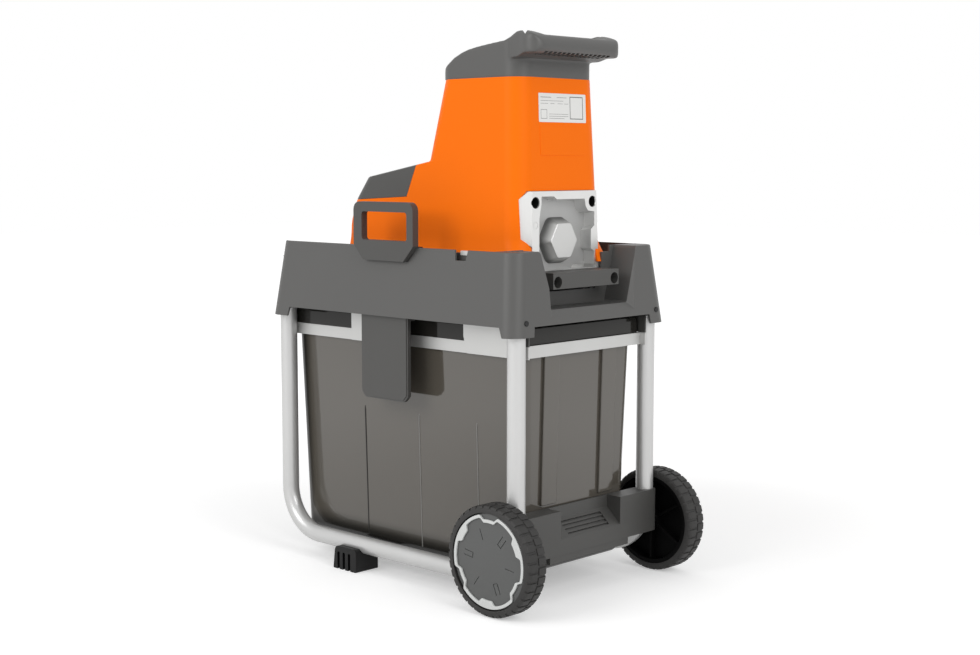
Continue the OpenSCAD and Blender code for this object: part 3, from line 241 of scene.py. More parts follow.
tube_bend = 80 * MM
tube_sides = 40
satin_tube = material("satin aluminium tube", (0.57, 0.57, 0.565), 0.36, metal=0.5, grain=0.05,
                      grain_size=0.8, mottle=0.03, mottle_size=90)
for side in ("right", "left"):
    low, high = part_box("frame_tube_" + side)
    tube_x = (low.x + high.x) / 2
    tube_r = (high.x - low.x) / 2
    front_leg, rear_leg = low.y + tube_r, high.y - tube_r
    run = low.z + tube_r
    bend_z = run + tube_bend
    leg_end = high.z - 1 * MM
    route = [(front_leg, leg_end)]
    route += arc((front_leg + tube_bend, bend_z), tube_bend, 180, 270, 14)
    route += arc((rear_leg - tube_bend, bend_z), tube_bend, 270, 360, 14)
    route += [(rear_leg, leg_end)]
    rings = []
    for k, (y, z) in enumerate(route):
        before, after = Vector(route[max(k - 1, 0)]), Vector(route[min(k + 1, len(route) - 1)])
        along = (after - before).normalized()
        ring = []
        for j in range(tube_sides):
            t = 2 * math.pi * j / tube_sides
            out = tube_r * math.sin(t)
            ring.append((tube_x + tube_r * math.cos(t), y - out * along.y, z + out * along.x))
        rings.append(ring)
    tube = rounded_edges(piece_from("frame_tube_" + side + "_bent", loft(rings)), 0.0)
    fitted(tube, satin_tube, "frame", "tube", "frame_tube_" + side)


# Side rails and rear bar: flat strips punched from sheet, zinc grey, screwed between the legs.
# The raised plates carry the deck and guide the drawer's rim.
def softened(name, node, width, segments=2):
    """Copies a solid's shape, joins its flat faces and rounds its edges."""
    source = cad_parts[node].data
    bm = bmesh.new()
    points = [bm.verts.new(v.co) for v in source.vertices]
    for face in source.polygons:
        bm.faces.new([points[i] for i in face.vertices])
    bmesh.ops.remove_doubles(bm, verts=bm.verts, dist=0.002 * MM)
    flat = math.radians(0.6)
    bmesh.ops.dissolve_limit(bm, angle_limit=flat, verts=bm.verts, edges=bm.edges)
    mesh = bpy.data.meshes.new(name)
    bm.to_mesh(mesh)
    bm.free()
    piece = bpy.data.objects.new(name, mesh)
    scene.collection.objects.link(piece)
    return rounded_edges(piece, width, segments)


def dressed(node, width, finish, body, slot, segments=2):
    """Dresses a solid in its own softened copy."""
    fitted(softened(node + "_form", node, width, segments), finish, body, slot, node)


def prism(outline, axis, start, end):
    """Solid between two places on an axis; the outline is in the other two axes, in their order.
    A place may be a number or a rule that takes the outline's point."""
    order = {"X": (2, 0, 1), "Y": (0, 2, 1), "Z": (0, 1, 2)}[axis]

    def row(place):
        made = []
        for point in outline:
            depth = place(point) if callable(place) else place
            made.append(tuple((*point, depth)[k] for k in order))
        return made
    return loft([row(start), row(end)])


def box_outline(low, high):
    """Rectangle between two corners."""
    return [(low[0], low[1]), (high[0], low[1]), (high[0], high[1]), (low[0], high[1])]


def joined(name, solids):
    """One tool made of several separate solids."""
    bm = bmesh.new()
    for solid in solids:
        mesh = bpy.data.meshes.new(name)
        bmesh.ops.recalc_face_normals(solid, faces=solid.faces)
        solid.to_mesh(mesh)
        solid.free()
        bm.from_mesh(mesh)
        bpy.data.meshes.remove(mesh)
    return piece_from(name, bm)


sheet_metal = material("zinc grey sheet", (0.56, 0.56, 0.55), 0.42, metal=0.5, grain=0.06, grain_size=0.6,
                       mottle=0.05, mottle_size=70)
for node in ("side_rail_right", "side_rail_left", "rear_bar"):
    dressed(node, 0.5, sheet_metal, "frame", "tube")
strip_t = 3 * MM
bracket_h = 20.5 * MM
for side, sign in (("right", 1), ("left", -1)):
    low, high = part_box("side_rail_" + side)
    inner = low.x if sign > 0 else high.x
    bracket = box_outline((high.y - 2.4 * MM, low.z), (high.y + 12 * MM, low.z + bracket_h))
    bracket = piece_from("side_rail_" + side + "_bracket", prism(bracket, "X", inner, inner + sign * strip_t))
    fitted(rounded_edges(bracket, 0.4), sheet_metal, "frame", "tube")


# Feet: black moulded saddles clamped under the bottom runs, with three grip slots open at the bottom
# of the outer side.
def corner_points(points, k, radius, steps):
    """Points of the round stretch that takes the place of one corner of an outline."""
    here = Vector(points[k])
    back = (Vector(points[k - 1]) - here).normalized()
    onward = (Vector(points[(k + 1) % len(points)]) - here).normalized()
    half = math.acos(max(-1.0, min(1.0, back.dot(onward)))) / 2
    centre = here + (back + onward).normalized() * (radius / math.sin(half))
    first = here + back * (radius / math.tan(half)) - centre
    last = here + onward * (radius / math.tan(half)) - centre
    sweep = -first.angle_signed(last)
    made = []
    for j in range(steps + 1):
        cos, sin = math.cos(sweep * j / steps), math.sin(sweep * j / steps)
        made.append((centre.x + first.x * cos - first.y * sin, centre.y + first.x * sin + first.y * cos))
    return made


def rounded_outline(points, radii, steps=5):
    """Rounds an outline's corners; radii is one radius or one for each corner."""
    if not isinstance(radii, (list, tuple)):
        radii = [radii] * len(points)
    made = []
    for k, radius in enumerate(radii):
        made += corner_points(points, k, radius, steps) if radius > 0.0 else [tuple(points[k])]
    return made


def carved(piece, tool, operation="DIFFERENCE"):
    """Cuts a tool off a piece, joins it or keeps what the two share; the tool is a bmesh or an object."""
    if isinstance(tool, bmesh.types.BMesh):
        tool = piece_from("tool", tool)
    carve = piece.modifiers.new("carve", "BOOLEAN")
    carve.operation = operation
    carve.solver = "EXACT"
    carve.object = tool
    baked(piece)
    bpy.data.objects.remove(tool)
    return piece


def repeat_tree():
    """Node tree that sets copies of a block along a line, each turned on from the last."""
    tree = bpy.data.node_groups.new("row of copies", "GeometryNodeTree")
    sockets = {}
    for name, kind in (("Count", "Int"), ("Step", "Vector"), ("Turn", "Vector"), ("First turn", "Vector"),
                       ("Place", "Vector"), ("Block", "Object"), ("Finish", "Material")):
        made = tree.interface.new_socket(name, in_out="INPUT", socket_type="NodeSocket" + kind)
        sockets[name] = made.identifier
    tree.interface.new_socket("Geometry", in_out="OUTPUT", socket_type="NodeSocketGeometry")
    given = wired(tree, "NodeGroupInput").outputs
    line = wired(tree, "GeometryNodeMeshLine", {"Count": given["Count"], "Offset": given["Step"]})
    index = wired(tree, "GeometryNodeInputIndex")
    turn = wired(tree, "ShaderNodeVectorMath", operation="MULTIPLY_ADD")
    feed(tree, turn, {0: index.outputs[0], 1: given["Turn"], 2: given["First turn"]})
    block = wired(tree, "GeometryNodeObjectInfo", {"Object": given["Block"]})
    copies = wired(tree, "GeometryNodeInstanceOnPoints", {
        "Points": line.outputs["Mesh"], "Instance": block.outputs["Geometry"], "Rotation": turn.outputs[0]})
    shift = wired(tree, "GeometryNodeTransform",
                  {"Geometry": copies.outputs[0], "Translation": given["Place"]})
    real = wired(tree, "GeometryNodeRealizeInstances", {"Geometry": shift.outputs[0]})
    finish = wired(tree, "GeometryNodeSetMaterial",
                   {"Geometry": real.outputs[0], "Material": given["Finish"]})
    wired(tree, "NodeGroupOutput", {"Geometry": finish.outputs[0]})
    return tree, sockets


copies_tree, copies_sockets = repeat_tree()


def copies_of(name, block, count, finish, step=(0, 0, 0), turn=(0, 0, 0), first_turn=(0, 0, 0),
              place=(0, 0, 0)):
    """Bakes a row or ring of copies of a block into one plain mesh, and removes the block."""
    mesh = bpy.data.meshes.new(name)
    row = bpy.data.objects.new(name, mesh)
    scene.collection.objects.link(row)
    repeat = row.modifiers.new("copies", "NODES")
    repeat.node_group = copies_tree
    wanted = {"Count": count, "Step": step, "Turn": turn, "First turn": first_turn, "Place": place,
              "Block": block, "Finish": finish}
    for key, value in wanted.items():
        repeat[copies_sockets[key]] = value
    baked(row)
    bpy.data.objects.remove(block)
    return row


def cylinder(axis, centre, radius, start, end, sides=40):
    """Round bar along an axis; centre is in the other two axes, in their order."""
    return prism(arc(centre, radius, 0, 360 - 360 / sides, sides - 1), axis, start, end)


clear = 10 * MM
foot_lean = 5 * MM
slot_half, slot_deep, slot_h = 3 * MM, 5 * MM, 31 * MM
slot_count, slot_step, slot_shift = 3, 14 * MM, -2 * MM
black_foot = material("black moulded nylon", (0.005, 0.005, 0.005), 0.45, grain=0.12, grain_size=0.7,
                      mottle=0.15, specular=0.25)
for side, sign in (("right", 1), ("left", -1)):
    low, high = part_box("foot_" + side)
    outline = [(low.y, 0.0), (high.y, 0.0), (high.y, high.z), (low.y + foot_lean, high.z)]
    outline = rounded_outline(outline, [r * MM for r in (2, 2, 6, 9)])
    foot = piece_from("foot_" + side + "_saddle", prism(outline, "X", low.x, high.x))
    run_low, run_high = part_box("frame_tube_" + side)
    run_r = (run_high.x - run_low.x) / 2
    seat = ((low.x + high.x) / 2, run_low.z + run_r)
    seat = cylinder("Y", seat, run_r + 0.1 * MM, low.y - clear, high.y + clear)
    carved(foot, seat)
    face = high.x if sign > 0 else low.x
    middle = (low.y + high.y) / 2
    slot = rounded_outline(box_outline((-slot_half, -clear), (slot_half, slot_h)), [0, 0, 2 * MM, 2 * MM])
    slot = piece_from("slot", prism(slot, "X", -slot_deep, slot_deep))
    carved(foot, copies_of("slots", slot, slot_count, black_foot, step=(0, slot_step, 0),
                           place=(face, middle - slot_step + slot_shift, 0)))
    fitted(rounded_edges(foot, 1.2), black_foot, "frame", "black_plastic", "foot_" + side)


# Axle carrier: the step between the rear legs, one dark grey moulding with a ribbed tread panel.
# Its end sockets clamp the legs and its bore carries the axle.
panel_half, panel_deep = 52 * MM, 3.2 * MM
panel_near, panel_far = 0.16, 0.84
ridge_count, ridge_first, ridge_step = 3, 0.30, 0.20
ridge_w, ridge_root, ridge_crest = 4.5 * MM, -6 * MM, -0.6 * MM
grey_moulding = material("dark grey moulded plastic", (0.055, 0.054, 0.051), 0.46, grain=0.10,
                         grain_size=0.9, mottle=0.05)
low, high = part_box("axle_carrier")
carrier = softened("axle_carrier_step", "axle_carrier", 0.0)
tread_front = (low.y + 4 * MM, high.z - 20 * MM)
tread_back = (high.y, high.z - 48 * MM)
down = (Vector(tread_back) - Vector(tread_front)).normalized()
up = Vector((-down.y, down.x))
tread_length = (Vector(tread_back) - Vector(tread_front)).length


def on_tread(along, height):
    """Point of the tread's cross-section: share of its length, height above it."""
    return tuple(Vector(tread_front) + down * (along * tread_length) + up * height)


panel_outline = [on_tread(panel_near, clear), on_tread(panel_near, -panel_deep),
                 on_tread(panel_far, -panel_deep), on_tread(panel_far, clear)]
carved(carrier, prism(panel_outline, "X", -panel_half, panel_half))
ridges = []
ridge_end = panel_half + 2 * MM
for k in range(ridge_count):
    along = ridge_first + ridge_step * k
    half = ridge_w / 2 / tread_length
    profile = [on_tread(along - half, ridge_root), on_tread(along + half, ridge_root),
               on_tread(along + half * 0.7, ridge_crest), on_tread(along - half * 0.7, ridge_crest)]
    ridges.append(prism(profile, "X", -ridge_end, ridge_end))
carved(carrier, joined("ridges", ridges), "UNION")
fitted(rounded_edges(carrier, 1.3), grey_moulding, "frame", "grey_plastic", "axle_carrier")

bright_steel = material("ground steel", (0.52, 0.52, 0.52), 0.28, metal=1.0, grain=0.05, grain_size=0.4,
                        mottle=0.05)
for node in ("axle", "axle_clips"):
    dressed(node, 0.4, bright_steel, "frame", "steel")


# Wheels: a solid rubber tyre with staggered lugs on a black moulded hub, a snapped-in dark cap with
# six cut marks, and a pale wavy ring set into the cap. They run on the axle by themselves.
def turned(profile, place, steps=96, hollow=False):
    """Turns a profile of (x, radius) points about the axle; a hollow one closes on itself."""
    rows = []
    for x, radius in profile:
        rows.append([(x, place[0] + radius * math.cos(2 * math.pi * k / steps),
                      place[1] + radius * math.sin(2 * math.pi * k / steps)) for k in range(steps)])
    return loft(rows + rows[:1] if hollow else rows, close_ends=not hollow)


def bump(angle, centre, flat, ramp):
    """1 within flat degrees of the nearest of three places 120 degrees apart, falling to 0 over the ramp."""
    off = abs((angle - centre + 60.0) % 120.0 - 60.0)
    share = max(0.0, min(1.0, 1.0 - (off - flat) / ramp))
    return share * share * (3.0 - 2.0 * share)


lug_count = 36
lug_length = 11.5 * MM
lug_base = 2.0 * MM
ring_steps, ring_width, ring_soft = 240, 5.2 * MM, 0.5 * MM
ring_dip, dip_centre, dip_flat, dip_ramp = 8.0 * MM, 89.0, 9.0, 7.0
ring_pad, pad_centre, pad_flat, pad_ramp = 8.0 * MM, 27.0, 9.0, 6.0
mark_in, mark_out, mark_start = 35 * MM, 54 * MM, math.radians(22)
mark_deep, mark_half = 1.6 * MM, 0.7 * MM
rubber = material("black tyre rubber", (0.020, 0.019, 0.018), 0.62, grain=0.22, grain_size=1.2, mottle=0.25,
                  mottle_size=25)
black_hub = material("black hub plastic", (0.002, 0.002, 0.002), 0.50, grain=0.10, grain_size=0.8, mottle=0.1,
                     specular=0.06)
cap_grey = material("dark grey cap plastic", (0.086, 0.088, 0.086), 0.40, grain=0.08, grain_size=0.8,
                    mottle=0.05)
pale_ring = material("pale silver plastic", (0.62, 0.63, 0.62), 0.38, metal=0.1, grain=0.05, grain_size=0.8,
                     mottle=0.03)
for side, sign in (("right", 1), ("left", -1)):
    body = "wheel_" + side
    low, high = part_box("tyre_" + side)
    axle_y, axle_z = (low.y + high.y) / 2, (low.z + high.z) / 2
    wheel_r = (high.z - low.z) / 2
    inner, outer = (low.x, high.x) if sign > 0 else (high.x, low.x)
    middle = (inner + outer) / 2
    half = abs(outer - inner) / 2
    cap_low, cap_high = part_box("hub_cap_" + side)
    rim_r = (cap_high.z - cap_low.z) / 2
    tread_r = wheel_r - lug_base
    seat_r = rim_r + 0.6 * MM
    wall = [(1.0, seat_r), (1.0, wheel_r - 9.0 * MM), (0.985, wheel_r - 6.6 * MM), (0.93, wheel_r - 4.8 * MM),
            (0.80, tread_r - 0.2 * MM), (0.40, tread_r)]
    profile = [(middle + half * share, r) for share, r in wall]
    profile += [(middle - half * share, r) for share, r in reversed(wall)]
    tyre = piece_from("tyre_" + side + "_body", turned(profile, (axle_y, axle_z), hollow=True))
    rounded_edges(tyre, 0.0, angle=40)
    lug_outline = [(0.06, tread_r - 4 * MM), (0.06, wheel_r - 0.9 * MM), (0.11, wheel_r - 0.3 * MM),
                   (0.74, wheel_r - 0.3 * MM), (0.90, wheel_r - 1.8 * MM), (0.985, wheel_r - 5.4 * MM),
                   (0.95, wheel_r - 9.0 * MM)]
    rows = []
    for face in (-1, 1):
        points = [(face * half * share, r) for share, r in lug_outline]
        lug = rounded_edges(piece_from("lug", prism(points, "Y", -lug_length / 2, lug_length / 2)), 0.8)
        turn = 2 * math.pi / lug_count
        rows.append(copies_of("lugs", lug, lug_count, rubber, turn=(turn, 0, 0),
                              first_turn=(turn * face / 4, 0, 0), place=(middle, axle_y, axle_z)))
    for row in rows:
        bm = bmesh.new()
        bm.from_mesh(tyre.data)
        bm.from_mesh(row.data)
        bm.to_mesh(tyre.data)
        bm.free()
        bpy.data.objects.remove(row)
    tyre.data.shade_smooth()
    tyre.data.set_sharp_from_angle(angle=math.radians(44))
    fitted(tyre, rubber, body, "tyre", "tyre_" + side)
    dressed("hub_" + side, 0.8, black_hub, body, "black_plastic")

    face_x = cap_high.x if sign > 0 else cap_low.x
    back_x = cap_low.x if sign > 0 else cap_high.x
    cap_profile = [(back_x, rim_r)]
    for depth, r in ((2.6, rim_r), (1.4, rim_r - 0.5 * MM), (0.9, rim_r - 1.6 * MM), (0.7, rim_r - 14 * MM),
                     (0.2, 20 * MM), (0.0, 8 * MM)):
        cap_profile.append((face_x - sign * depth * MM, r))
    cap = piece_from("hub_cap_" + side + "_disc", turned(cap_profile, (axle_y, axle_z)))
    line = rounded_outline(box_outline((-mark_half, mark_in), (mark_half, mark_out)), 0.6 * MM, 3)
    line = prism(line, "X", -mark_deep, 3 * MM)
    u_out, u_in, u_foot = 5.0 * MM, 3.5 * MM, mark_in + 1.5 * MM
    u_outline = [(-u_out, mark_in), (u_out, mark_in), (u_out, mark_out), (u_in, mark_out),
                 (u_in, u_foot), (-u_in, u_foot), (-u_in, mark_out), (-u_out, mark_out)]
    u_mark = prism(u_outline, "X", -mark_deep, 3 * MM)
    place = (face_x, axle_y, axle_z)
    third = 2 * math.pi / 3
    flip = 0.0 if sign > 0 else math.pi
    for block, extra in ((piece_from("line mark", line), 0.0), (piece_from("u mark", u_mark), third / 2)):
        carved(cap, copies_of("marks", block, 3, cap_grey, turn=(third, 0, 0),
                              first_turn=(mark_start + extra, flip, 0), place=place))
    fitted(rounded_edges(cap, 0.0, angle=24), cap_grey, body, "grey_plastic", "hub_cap_" + side)

    ring_low, ring_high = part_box("hub_ring_" + side)
    ring_out = ring_high.x if sign > 0 else ring_low.x
    ring_base, ring_edge = face_x - sign * 0.4 * MM, ring_out - sign * ring_soft
    ring_r = rim_r - 1.8 * MM
    rows = []
    for k in range(ring_steps):
        angle = 360.0 * k / ring_steps
        far = ring_r - ring_dip * bump(angle, dip_centre, dip_flat, dip_ramp)
        near = far - ring_width - ring_pad * bump(angle, pad_centre, pad_flat, pad_ramp)
        levels = [(ring_base, far), (ring_edge, far), (ring_out, far - ring_soft),
                  (ring_out, near + ring_soft), (ring_edge, near), (ring_base, near)]
        turn = math.radians(angle)
        rows.append([(x, axle_y + r * math.cos(turn), axle_z + r * math.sin(turn)) for x, r in levels])
    ring = piece_from("hub_ring_" + side + "_wave", loft(rows + rows[:1], close_ends=False))
    rounded_edges(ring, 0.0, angle=40)
    fitted(ring, pale_ring, body, "silver_plastic", "hub_ring_" + side)


# Collection box: a deep drawer blown from smoked grey plastic, glossy outside, with shallow draw ribs on
# its sides and two raised strips on its rear wall. Its rim hangs on the side rails and slides along them.
# Its front corners, bottom fillet and rim are painted darker and duller: painted reflection and shade.
def rect_row(half, front, back, r_front, r_back, z, steps=8):
    """Ring of points round an upright rounded rectangle."""
    ring = []
    for corner in range(4):
        r = r_back if corner < 2 else r_front
        cx = half - r if corner in (0, 3) else r - half
        cy = back - r if corner < 2 else front + r
        ring += [(x, y, z) for x, y in arc((cx, cy), r, 90 * corner, 90 * corner + 90, steps)]
    return ring


def painted_shade(made, shade, zones):
    """Paints shade on a finish by places along its axes: darkens its colour and dulls its coat and specular,
    (axis, start, end) in metres, dark at the end.
    """
    tree = made.node_tree
    shader = tree.nodes["Principled BSDF"]
    colour = shader.inputs["Base Color"].links[0].from_socket
    place = wired(tree, "ShaderNodeTexCoord").outputs["Object"]
    apart = wired(tree, "ShaderNodeSeparateXYZ", {0: place}).outputs
    most = 0.0
    for axis, start, end in zones:
        ramp = wired(tree, "ShaderNodeMapRange", {"Value": apart[axis], "From Min": start, "From Max": end},
                     interpolation_type="SMOOTHSTEP").outputs["Result"]
        most = wired(tree, "ShaderNodeMath", {0: most, 1: ramp}, operation="MAXIMUM").outputs[0]
    mix = wired(tree, "ShaderNodeMix", {"Factor": most, "A": colour, "B": (*shade, 1.0)}, data_type="RGBA")
    feed(tree, shader, {"Base Color": mix.outputs["Result"]})
    for socket, dull in (("Coat Weight", 0.0), ("Specular IOR Level", 0.25)):
        bright = shader.inputs[socket].default_value
        fade = wired(tree, "ShaderNodeMapRange", {"Value": most, "To Min": bright, "To Max": dull})
        feed(tree, shader, {socket: fade.outputs["Result"]})
    return made


box_low, box_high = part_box("collection_box")
rim_low = box_high.z - 26.8 * MM
box_draft = 11 * MM
box_wall = 2.5 * MM
box_lip = 5 * MM
box_corner = 25 * MM
box_fillet = 16 * MM
box_half = 143 * MM
box_neck = 6 * MM
rim_corner = 8 * MM
pull_reach = 10 * MM
box_front, box_back = box_low.y + pull_reach, box_high.y - box_lip


def box_lean(z):
    """How far the drawer's wall leans in at a height."""
    return box_draft * (rim_low - z) / (rim_low - box_low.z)


def box_row(inset, z):
    """Ring of the drawer's wall at a height, drawn in by an inset."""
    r = max(2 * MM, box_corner - inset)
    drawn = box_lean(z) + inset
    return rect_row(box_half - drawn, box_front + drawn, box_back - drawn, r, r, z)


def rim_row(inset, z):
    """Ring of the drawer's rim at a height; the inset is in millimetres."""
    front, back = box_front - box_lip + inset * MM, box_back + box_lip - inset * MM
    return rect_row(box_high.x - inset * MM, front, back, rim_corner, rim_corner, z)


rows = []
for k in range(6):
    turn = math.radians(90 * k / 5)
    rows.append(box_row(box_fillet * (1 - math.sin(turn)), box_low.z + box_fillet * (1 - math.cos(turn))))
wall_foot, wall_top = box_low.z + box_fillet, rim_low - box_neck
for share in (0.25, 0.5, 0.75, 1.0):
    rows.append(box_row(0.0, wall_foot + (wall_top - wall_foot) * share))
for inset, z in ((2.0, -2.5), (0.3, -0.6), (0.0, 0.8)):
    rows.append(rim_row(inset, rim_low + z * MM))
for inset, z in ((0.0, -1.5), (0.6, -0.4), (1.6, 0.0), (box_wall / MM + 2, 0.0)):
    rows.append(rim_row(inset, box_high.z + z * MM))
for inset, z in ((0.0, rim_low), (0.0, wall_foot), (box_fillet * 0.3, box_low.z + box_fillet * 0.35),
                 (box_fillet, box_low.z + box_wall)):
    rows.append(box_row(box_wall + inset, z))
drawer = piece_from("collection_box_drawer", loft(rows))
smoke = (0.082, 0.073, 0.060)
smoke_painted_shade = (0.019, 0.018, 0.016)
smoked = material("smoked glossy plastic", smoke, 0.07, grain=0.0, mottle=0.03, mottle_size=140, coat=0.35,
                  coat_roughness=0.03)
# Painted light: the front corners and the bottom fillet are darkened and dulled as a painted dark reflection,
# and the rim as painted shade under the deck.
front_shade = ("Y", box_front + 46 * MM, box_front + 22 * MM)
foot_shade = ("Z", box_low.z + 46 * MM, box_low.z + 14 * MM)
rim_shade = ("Z", rim_low - 10 * MM, rim_low + 2 * MM)
painted_shade(smoked, smoke_painted_shade, (front_shade, foot_shade, rim_shade))

rib_count = 3
rib_step = 137 * MM
rib_foot, rib_head, rib_end = box_low.z + 14 * MM, rim_low - 130 * MM, 12 * MM
rib_sink = 1.4 * MM
rib_outline = [(-2.0 * MM, -2 * MM), (2.0 * MM, -2 * MM), (0.9 * MM, 0.6 * MM), (-0.9 * MM, 0.6 * MM)]
# The ribs are painted lighter than the wall as a painted highlight, and the front rib is painted dark as
# painted shade.
rib_painted_light = material("smoked rib painted highlight and shade", (0.17, 0.165, 0.155), 0.3, grain=0.0, mottle=0.03, mottle_size=140)
painted_shade(rib_painted_light, smoke_painted_shade, (("Y", -60 * MM, -100 * MM),))
strip_near, strip_far, strip_out = 54 * MM, 91 * MM, 5 * MM
strip_low, strip_top = box_low.z + 114 * MM, rim_low - 4 * MM
for sign, side in ((1, "right"), (-1, "left")):
    head_x = box_half - box_lean(rib_head)
    levels = []
    for z, wall_x in ((rib_foot, box_half - box_lean(rib_foot)), (rib_head - rib_end, head_x),
                      (rib_head, head_x - rib_sink)):
        levels.append([(sign * (wall_x + depth), y, z) for y, depth in rib_outline])
    rib = piece_from("rib", loft(levels))
    ribs = copies_of("collection_box_ribs_" + side, rib, rib_count, rib_painted_light, step=(0, rib_step, 0),
                     place=(0, -rib_step, 0))
    fitted(rounded_edges(ribs, 0.0), rib_painted_light, "drawer", "smoked_plastic")
for sign, side in ((1, "right"), (-1, "left")):
    levels = []
    for z in (strip_low, strip_top):
        wall_y = box_back - box_lean(z)
        plan = box_outline((sign * strip_near, wall_y - 2 * MM), (sign * strip_far, wall_y + strip_out))
        levels.append([(x, y, z) for x, y in plan])
    strip = rounded_edges(piece_from("collection_box_pilaster_" + side, loft(levels)), 1.6, segments=3)
    fitted(strip, smoked, "drawer", "smoked_plastic")

ledge_half, ledge_t, ledge_z = 60 * MM, 6 * MM, rim_low - 22 * MM
ledge = box_outline((-ledge_half, box_low.y), (ledge_half, box_front + 4 * MM))
ledge = prism(rounded_outline(ledge, [8 * MM, 8 * MM, 0, 0]), "Z", ledge_z, ledge_z + ledge_t)
carved(drawer, ledge, "UNION")
fitted(rounded_edges(drawer, 0.0, angle=28), smoked, "drawer", "smoked_plastic", "collection_box")


# Deck: one large dark grey moulding with flared walls and corner ears that cap the legs.
# A tray on top carries the hopper, and a pocket in each end leaves room for the cutter's clamp.
deck_low, deck_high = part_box("deck")
deck_mid = (deck_low.y + deck_high.y) / 2
ear_z, rim_z = deck_low.z, deck_high.z
deck_foot = (deck_high.x, (deck_high.y - deck_low.y) / 2)
deck_lean = (17 * MM, 13.5 * MM)
deck_wall = 3.5 * MM
deck_corner = 27 * MM
tray_z, tray_t, tray_fillet = rim_z - 27 * MM, 4 * MM, 3 * MM
skirt_z = ear_z + 16 * MM
pocket_z = skirt_z + 23 * MM
pocket_y = 242 * MM
pocket_roll = 4 * MM
cut_top, cut_low = 119 * MM, 95.5 * MM
front_top, front_low = 168 * MM, 150 * MM
sill_y, sill_reach, sill_spread, sill_drop = 290.5 * MM, 12 * MM, 11 * MM, 16 * MM
lip_r = 2.2 * MM
beyond = 0.5


def deck_half(z):
    """Half sizes of the deck's outside at a height."""
    share = (z - ear_z) / (rim_z - ear_z)
    return deck_foot[0] - deck_lean[0] * share, deck_foot[1] - deck_lean[1] * share


def deck_row(inset, z):
    """Ring of the deck's wall at a height, drawn in by an inset."""
    hx, hy = deck_half(z)
    r = deck_corner - inset
    return rect_row(hx - inset, deck_mid - hy + inset, deck_mid + hy - inset, r, r, z)


rows = [deck_row(deck_wall, tray_z - tray_t), deck_row(deck_wall, ear_z), deck_row(0.0, ear_z),
        deck_row(0.0, ear_z + 40 * MM), deck_row(0.0, rim_z - lip_r)]
for k in range(1, 5):
    turn = math.radians(90 * k / 4)
    rows.append(deck_row(lip_r * (1 - math.cos(turn)), rim_z - lip_r * (1 - math.sin(turn))))
rows += [deck_row(deck_wall, rim_z), deck_row(deck_wall, tray_z + tray_fillet),
         deck_row(deck_wall + 0.3 * tray_fillet, tray_z + 0.3 * tray_fillet),
         deck_row(deck_wall + tray_fillet, tray_z)]
deck = piece_from("deck_moulding", loft(rows))


def mirrored(half):
    """Closes the right half of an outline with its mirror image on the left."""
    return half + [(-x, z) for x, z in reversed(half)]


def pocket_outline(low, floor):
    """Trapezoid of the rear cut-out with rounded floor corners and lips that roll outward at the rim."""
    rolled = cut_top + pocket_roll
    points = mirrored([(low, floor), (cut_top, rim_z - pocket_roll), (rolled, rim_z + 0.4 * MM),
                       (rolled, rim_z + clear)])
    return rounded_outline(points, [r * MM for r in (4, 8, 0, 0, 0, 0, 8, 4)])


def front_outline(low, floor):
    """Outline of the front cut-out, which leaves the wall low and opens wide to the corners."""
    points = mirrored([(low, floor), (front_low, tray_z + 4 * MM), (front_top, rim_z),
                       (front_top, rim_z + clear)])
    return rounded_outline(points, [r * MM for r in (4, 10, 6, 0, 0, 6, 10, 4)])


tube_low, tube_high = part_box("frame_tube_right")
tube_r = (tube_high.x - tube_low.x) / 2
tube_x = (tube_low.x + tube_high.x) / 2
legs = [(x, y) for x in (-tube_x, tube_x) for y in (tube_low.y + tube_r, tube_high.y - tube_r)]
sill_half = cut_low + 16 * MM
block_top = tray_z - 1 * MM
rear_half = cut_low + deck_wall + (cut_top - cut_low) * (block_top - pocket_z) / (rim_z - pocket_z)
front_half = 158 * MM
for sign, block_half in ((1, rear_half), (-1, front_half)):
    block = mirrored([(cut_low + deck_wall, pocket_z - deck_wall), (block_half, block_top)])
    sill_bar = mirrored([(sill_half, skirt_z + 4 * MM), (block_half + 12 * MM, block_top)])
    for outline, start in ((block, pocket_y - deck_wall), (sill_bar, sill_y - 8 * MM)):
        solid = prism(outline, "Y", deck_mid + sign * start,
                      lambda p, s=sign: deck_mid + s * (deck_half(p[1])[1] - 1.2 * MM))
        carved(deck, solid, "UNION")
socket_r, bore_r = tube_r + 4 * MM, tube_r + 0.15 * MM
sockets = [cylinder("Z", leg, socket_r, skirt_z - 4 * MM, tray_z - 1 * MM, sides=32) for leg in legs]
corner = box_outline((-beyond, deck_mid + pocket_y - deck_wall), (beyond, deck_mid + beyond))
corner = prism(corner, "Z", tray_z - tray_t, rim_z - 0.2 * MM)
for solid in (joined("leg sockets", sockets), piece_from("corner block", corner)):
    inside = loft([deck_row(lip_r + 0.2 * MM, z) for z in (ear_z, rim_z)])
    carved(solid, inside, "INTERSECT")
    carved(deck, solid, "UNION")
bores = [cylinder("Z", leg, bore_r, ear_z - clear, tube_high.z + 0.2 * MM) for leg in legs]
carved(deck, joined("leg bores", bores))
for sign, shape in ((1, pocket_outline), (-1, front_outline)):
    hole = prism(shape(cut_low, pocket_z), "Y", deck_mid + sign * pocket_y, deck_mid + sign * beyond)
    carved(deck, hole)
    levels = []
    for y, low, floor in ((sill_y, cut_low, pocket_z),
                          (sill_y + sill_reach, cut_low + sill_spread, pocket_z - sill_drop)):
        levels.append([(x, deck_mid + sign * y, z) for x, z in shape(low, floor)])
    carved(deck, loft(levels))

